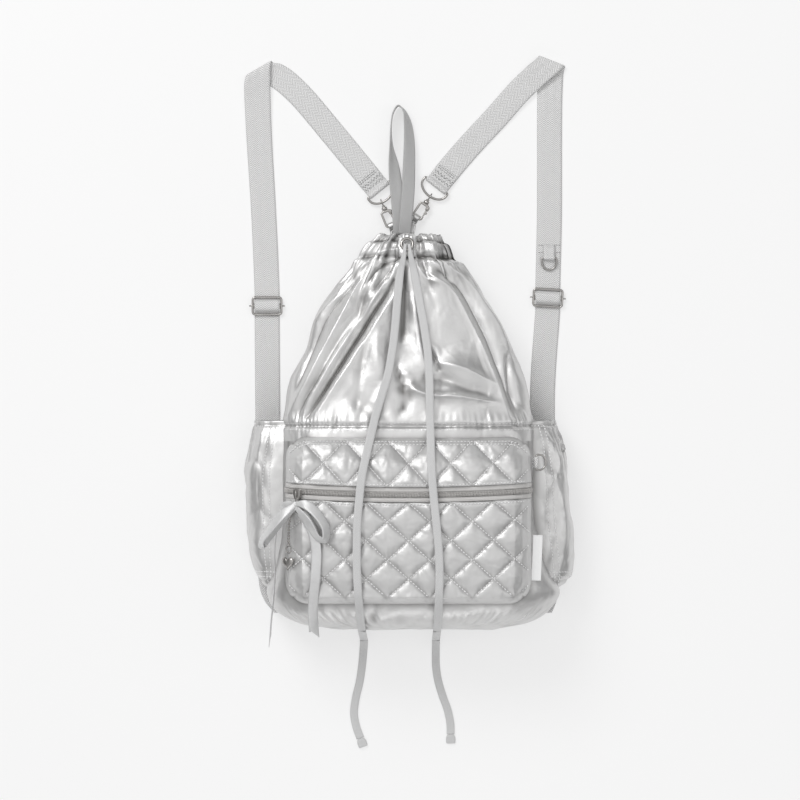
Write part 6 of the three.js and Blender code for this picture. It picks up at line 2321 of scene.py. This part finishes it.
@dataclass
class Bow:
    """The ribbon bow on the zip's slider."""

    finishes: Finishes
    slider: Point = (-107.5, 28.8, 109.0)
    knot: Point = (-109.0, 17.6, 112.0)
    width: float = 10.0
    thickness: float = 0.7
    lean: float = -30.0

    def build(self) -> None:
        """Builds the slider, the bow and its tails."""
        self.zip_slider()
        section = strip_section(self.width, self.thickness, 10, 0.25)
        shape = Shape()
        for rows in BOW_LOOPS:
            line, across, up = strip_frames(np.array(rows), 14)
            share = np.linspace(0, 1, len(line))
            pinch = 1 - 0.5 * (bell(share, 0, 0.1) + bell(share, 1, 0.1))
            shape.sweep(line, across, up, sized(section, pinch, np.ones(len(line))))
        self.wrap(shape)
        dress(shape, "bow_ribbon", self.finishes.ribbon, "bow")
        for side, rows in zip(("left", "right"), BOW_TAILS):
            line, across, up = strip_frames(np.array(rows), 14)
            grid = line[:, None] + section[:, :1] * across[:, None] + section[:, 1:2] * up[:, None]
            run = heading(line)[-1]
            slant = section[:, :1] / (self.width / 2)
            grid[-1] += run * (slant * 5.5)
            grid[-2] += run * (slant * 3.2)
            places = np.broadcast_arrays(section[:, 0] + self.width / 2, run_of(line)[:, None])
            cloth = np.stack(places, axis=-1)
            shape = Shape().grid(grid, ring=True, caps=True, cloth=cloth)
            dress(shape, f"bow_tail_{side}_ribbon", self.finishes.ribbon, f"bow_tail_{side}")

    def wrap(self, shape: Shape) -> None:
        """Adds the knot, a short band of ribbon drawn round the bow.

        Args:
            shape: takes the knot.
        """
        s, a = np.meshgrid(np.linspace(-1, 1, 15), around(40), indexing="ij")
        size = (4.6 - 1.7 * s**4) * (1 + 0.07 * np.sin(s * 9 + 1.5 * np.sin(a * 2)))
        x, y, z = self.knot
        grid = np.stack([
            x + size * np.cos(a) * 0.98, y + s * 4.2 + 0.5 * np.cos(a), z + size * np.sin(a) * 0.8,
        ], axis=-1)
        shape.grid(grid, ring=True, caps=True, cloth=np.stack([s * 5 + 5, a * 4.4], axis=-1))

    def zip_slider(self) -> None:
        """Builds the zip's slider with its bridge and pull."""
        frame = place_at(*self.slider, 0, self.lean)
        outline = soften(np.array([
            (-2.6, -5.2), (2.6, -5.2), (4.2, 0.5), (3.9, 4.2), (1.6, 5.2), (-1.6, 5.2), (-3.9, 4.2),
            (-4.2, 0.5),
        ]))
        pull = soften(np.array([(-1.3, -15), (1.3, -15), (1.3, -3.4), (-1.3, -3.4)]))
        shape = Shape()
        for low in (-1.0, 1.0):
            shape.attach(plate(outline, 1.0, 0.35), frame, (0, 0, low))
        shape.attach(plate(outline * 0.35, 2.0, 0.3), frame, (0, 2.0, 0))
        bridge = np.array([(-3.6, 1.4), (-3.4, 2.4), (-1.5, 3.0), (1.5, 3.0), (3.2, 2.2), (3.4, 1.4)])
        rail = evenly(curve(np.insert(bridge, 0, 0.0, axis=1), 6), 0.5)
        shape.wire(moved(rail, frame), 0.55, 10)
        shape.attach(plate(pull, 1.0, 0.35), frame, (0, 0, 1.6))
        dress(shape, "zip_slider_body", self.finishes.nickel, "zip_slider")


@dataclass
class Charm:
    """Ball chain, jump ring and puffed heart."""

    finishes: Finishes
    route: tuple[Point, ...] = (
        (-112.4, 10.5, 104.6), (-115, 4, 102.5), (-116, -8, 102.1), (-116, -21.4, 102.0),
    )
    ring: Point = (-116.1, -25.4, 101.8)
    heart: Point = (-117.0, -38.0, 100.9)
    lean: float = -34.0
    bead: float = 2.6
    beads: int = 12

    def build(self) -> None:
        """Builds the chain, the ring and the heart."""
        line = evenly(curve(np.array(self.route, float), 20), 0.4)
        run = run_of(line)
        shape = Shape().wire(line, 0.35, 8)
        tilt, turn = np.radians(np.linspace(-90, 90, 9))[1:-1, None], around(14)
        ball = np.stack(np.broadcast_arrays(
            np.cos(tilt) * np.cos(turn), np.cos(tilt) * np.sin(turn), np.sin(tilt)
        ), axis=-1)
        for k in range(self.beads):
            at = np.array([np.interp((k + 0.5) / self.beads * run[-1], run, line[:, c]) for c in range(3)])
            shape.grid(at + ball * self.bead / 2, ring=True, caps=True)
        dress(shape, "charm_ball_chain", self.finishes.nickel, "charm_chain")
        loop = moved(flat_line(circle(3.2, 36)), place_at(*self.ring, 0, self.lean))
        dress(Shape().wire(loop, 0.55, 10, loop=True), "charm_jump_ring", self.finishes.nickel, "charm_ring")
        t = around(72)
        px = np.sin(t) ** 3
        py = (13 * np.cos(t) - 5 * np.cos(2 * t) - 2 * np.cos(3 * t) - np.cos(4 * t)) / 16
        bend = np.radians(np.linspace(-86, 86, 19))[:, None]
        size, rise = np.cos(bend) ** 0.7 * 7, np.sin(bend) * 2.2
        grid = np.stack(np.broadcast_arrays(px * size, py * size, rise), axis=-1)
        heart = Shape().grid(moved(grid, place_at(*self.heart, 0, self.lean)), ring=True, caps=True)
        dress(heart, "charm_puffed_heart", self.finishes.nickel, "charm_heart")


@dataclass
class SideLabel:
    """The bare white label at the pocket's side."""

    finishes: Finishes
    place: Point = (126.0, -34.5, 71.0)
    turn: float = -2.0
    lean: float = 24.0
    width: float = 9.4
    length: float = 44.8

    def build(self) -> None:
        """Builds the label as a folded satin strip."""
        half = self.width / 2 / math.cos(math.radians(self.lean))
        u, v = np.meshgrid(np.linspace(-1, 1, 15), np.linspace(-1, 1, 47))
        z = 0.35 + 0.35 * np.sin(v * 2.2 + 0.4) * 0.6 - 0.25 * u**2
        x, y = u * half, v * self.length / 2
        grid = moved(np.stack([x, y, z], axis=-1), place_at(*self.place, self.turn, self.lean))
        shape = Shape().sheet(grid, 0.6, np.stack([x + half, y], axis=-1))
        dress(shape, "side_label_satin", self.finishes.label, "side_label")


def main() -> None:
    """Builds every sub-assembly in order."""
    logging.basicConfig(level=logging.INFO, format="%(name)s: %(message)s")
    finishes = Finishes()
    studio = Studio()
    studio.camera()
    for side, route in ((Side.LEFT, CORD_LEFT), (Side.RIGHT, CORD_RIGHT)):
        Drawcord(side, route, finishes).build()
    studio.floor()
    studio.lights()
    left_ring, right_ring = (-29.3, 330.3, -51.0), (28.7, 334.5, -128.0)
    left_loop = ((-9.6, 283, 7.8), (-9.2, 278, 9.4))
    right_loop = ((3.4, 292, 5.2), (1.8, 287, 6.6), (1.2, 282, 8.2), (0.8, 277, 9.6))
    MainBag(finishes).build()
    Neck(finishes).build()
    FrontPocket(finishes).build()
    for side in Side:
        SidePocket(side, finishes).build()
    Strap(Side.LEFT, STRAP_LEFT, left_ring, (-140.8, 214.0, 0.0), finishes).build()
    Strap(Side.RIGHT, STRAP_RIGHT, right_ring, (139.8, 222.0, -3.0), finishes).build()
    SnapHook(Side.LEFT, left_ring, -17.0, left_loop, finishes).build()
    SnapHook(Side.RIGHT, right_ring, 5.0, right_loop, finishes).build()
    SmallRings(finishes).build()
    GrabLoop(GRAB_ROUTE, finishes).build()
    Bow(finishes).build()
    Charm(finishes).build()
    SideLabel(finishes).build()


if __name__ == "__main__":
    main()
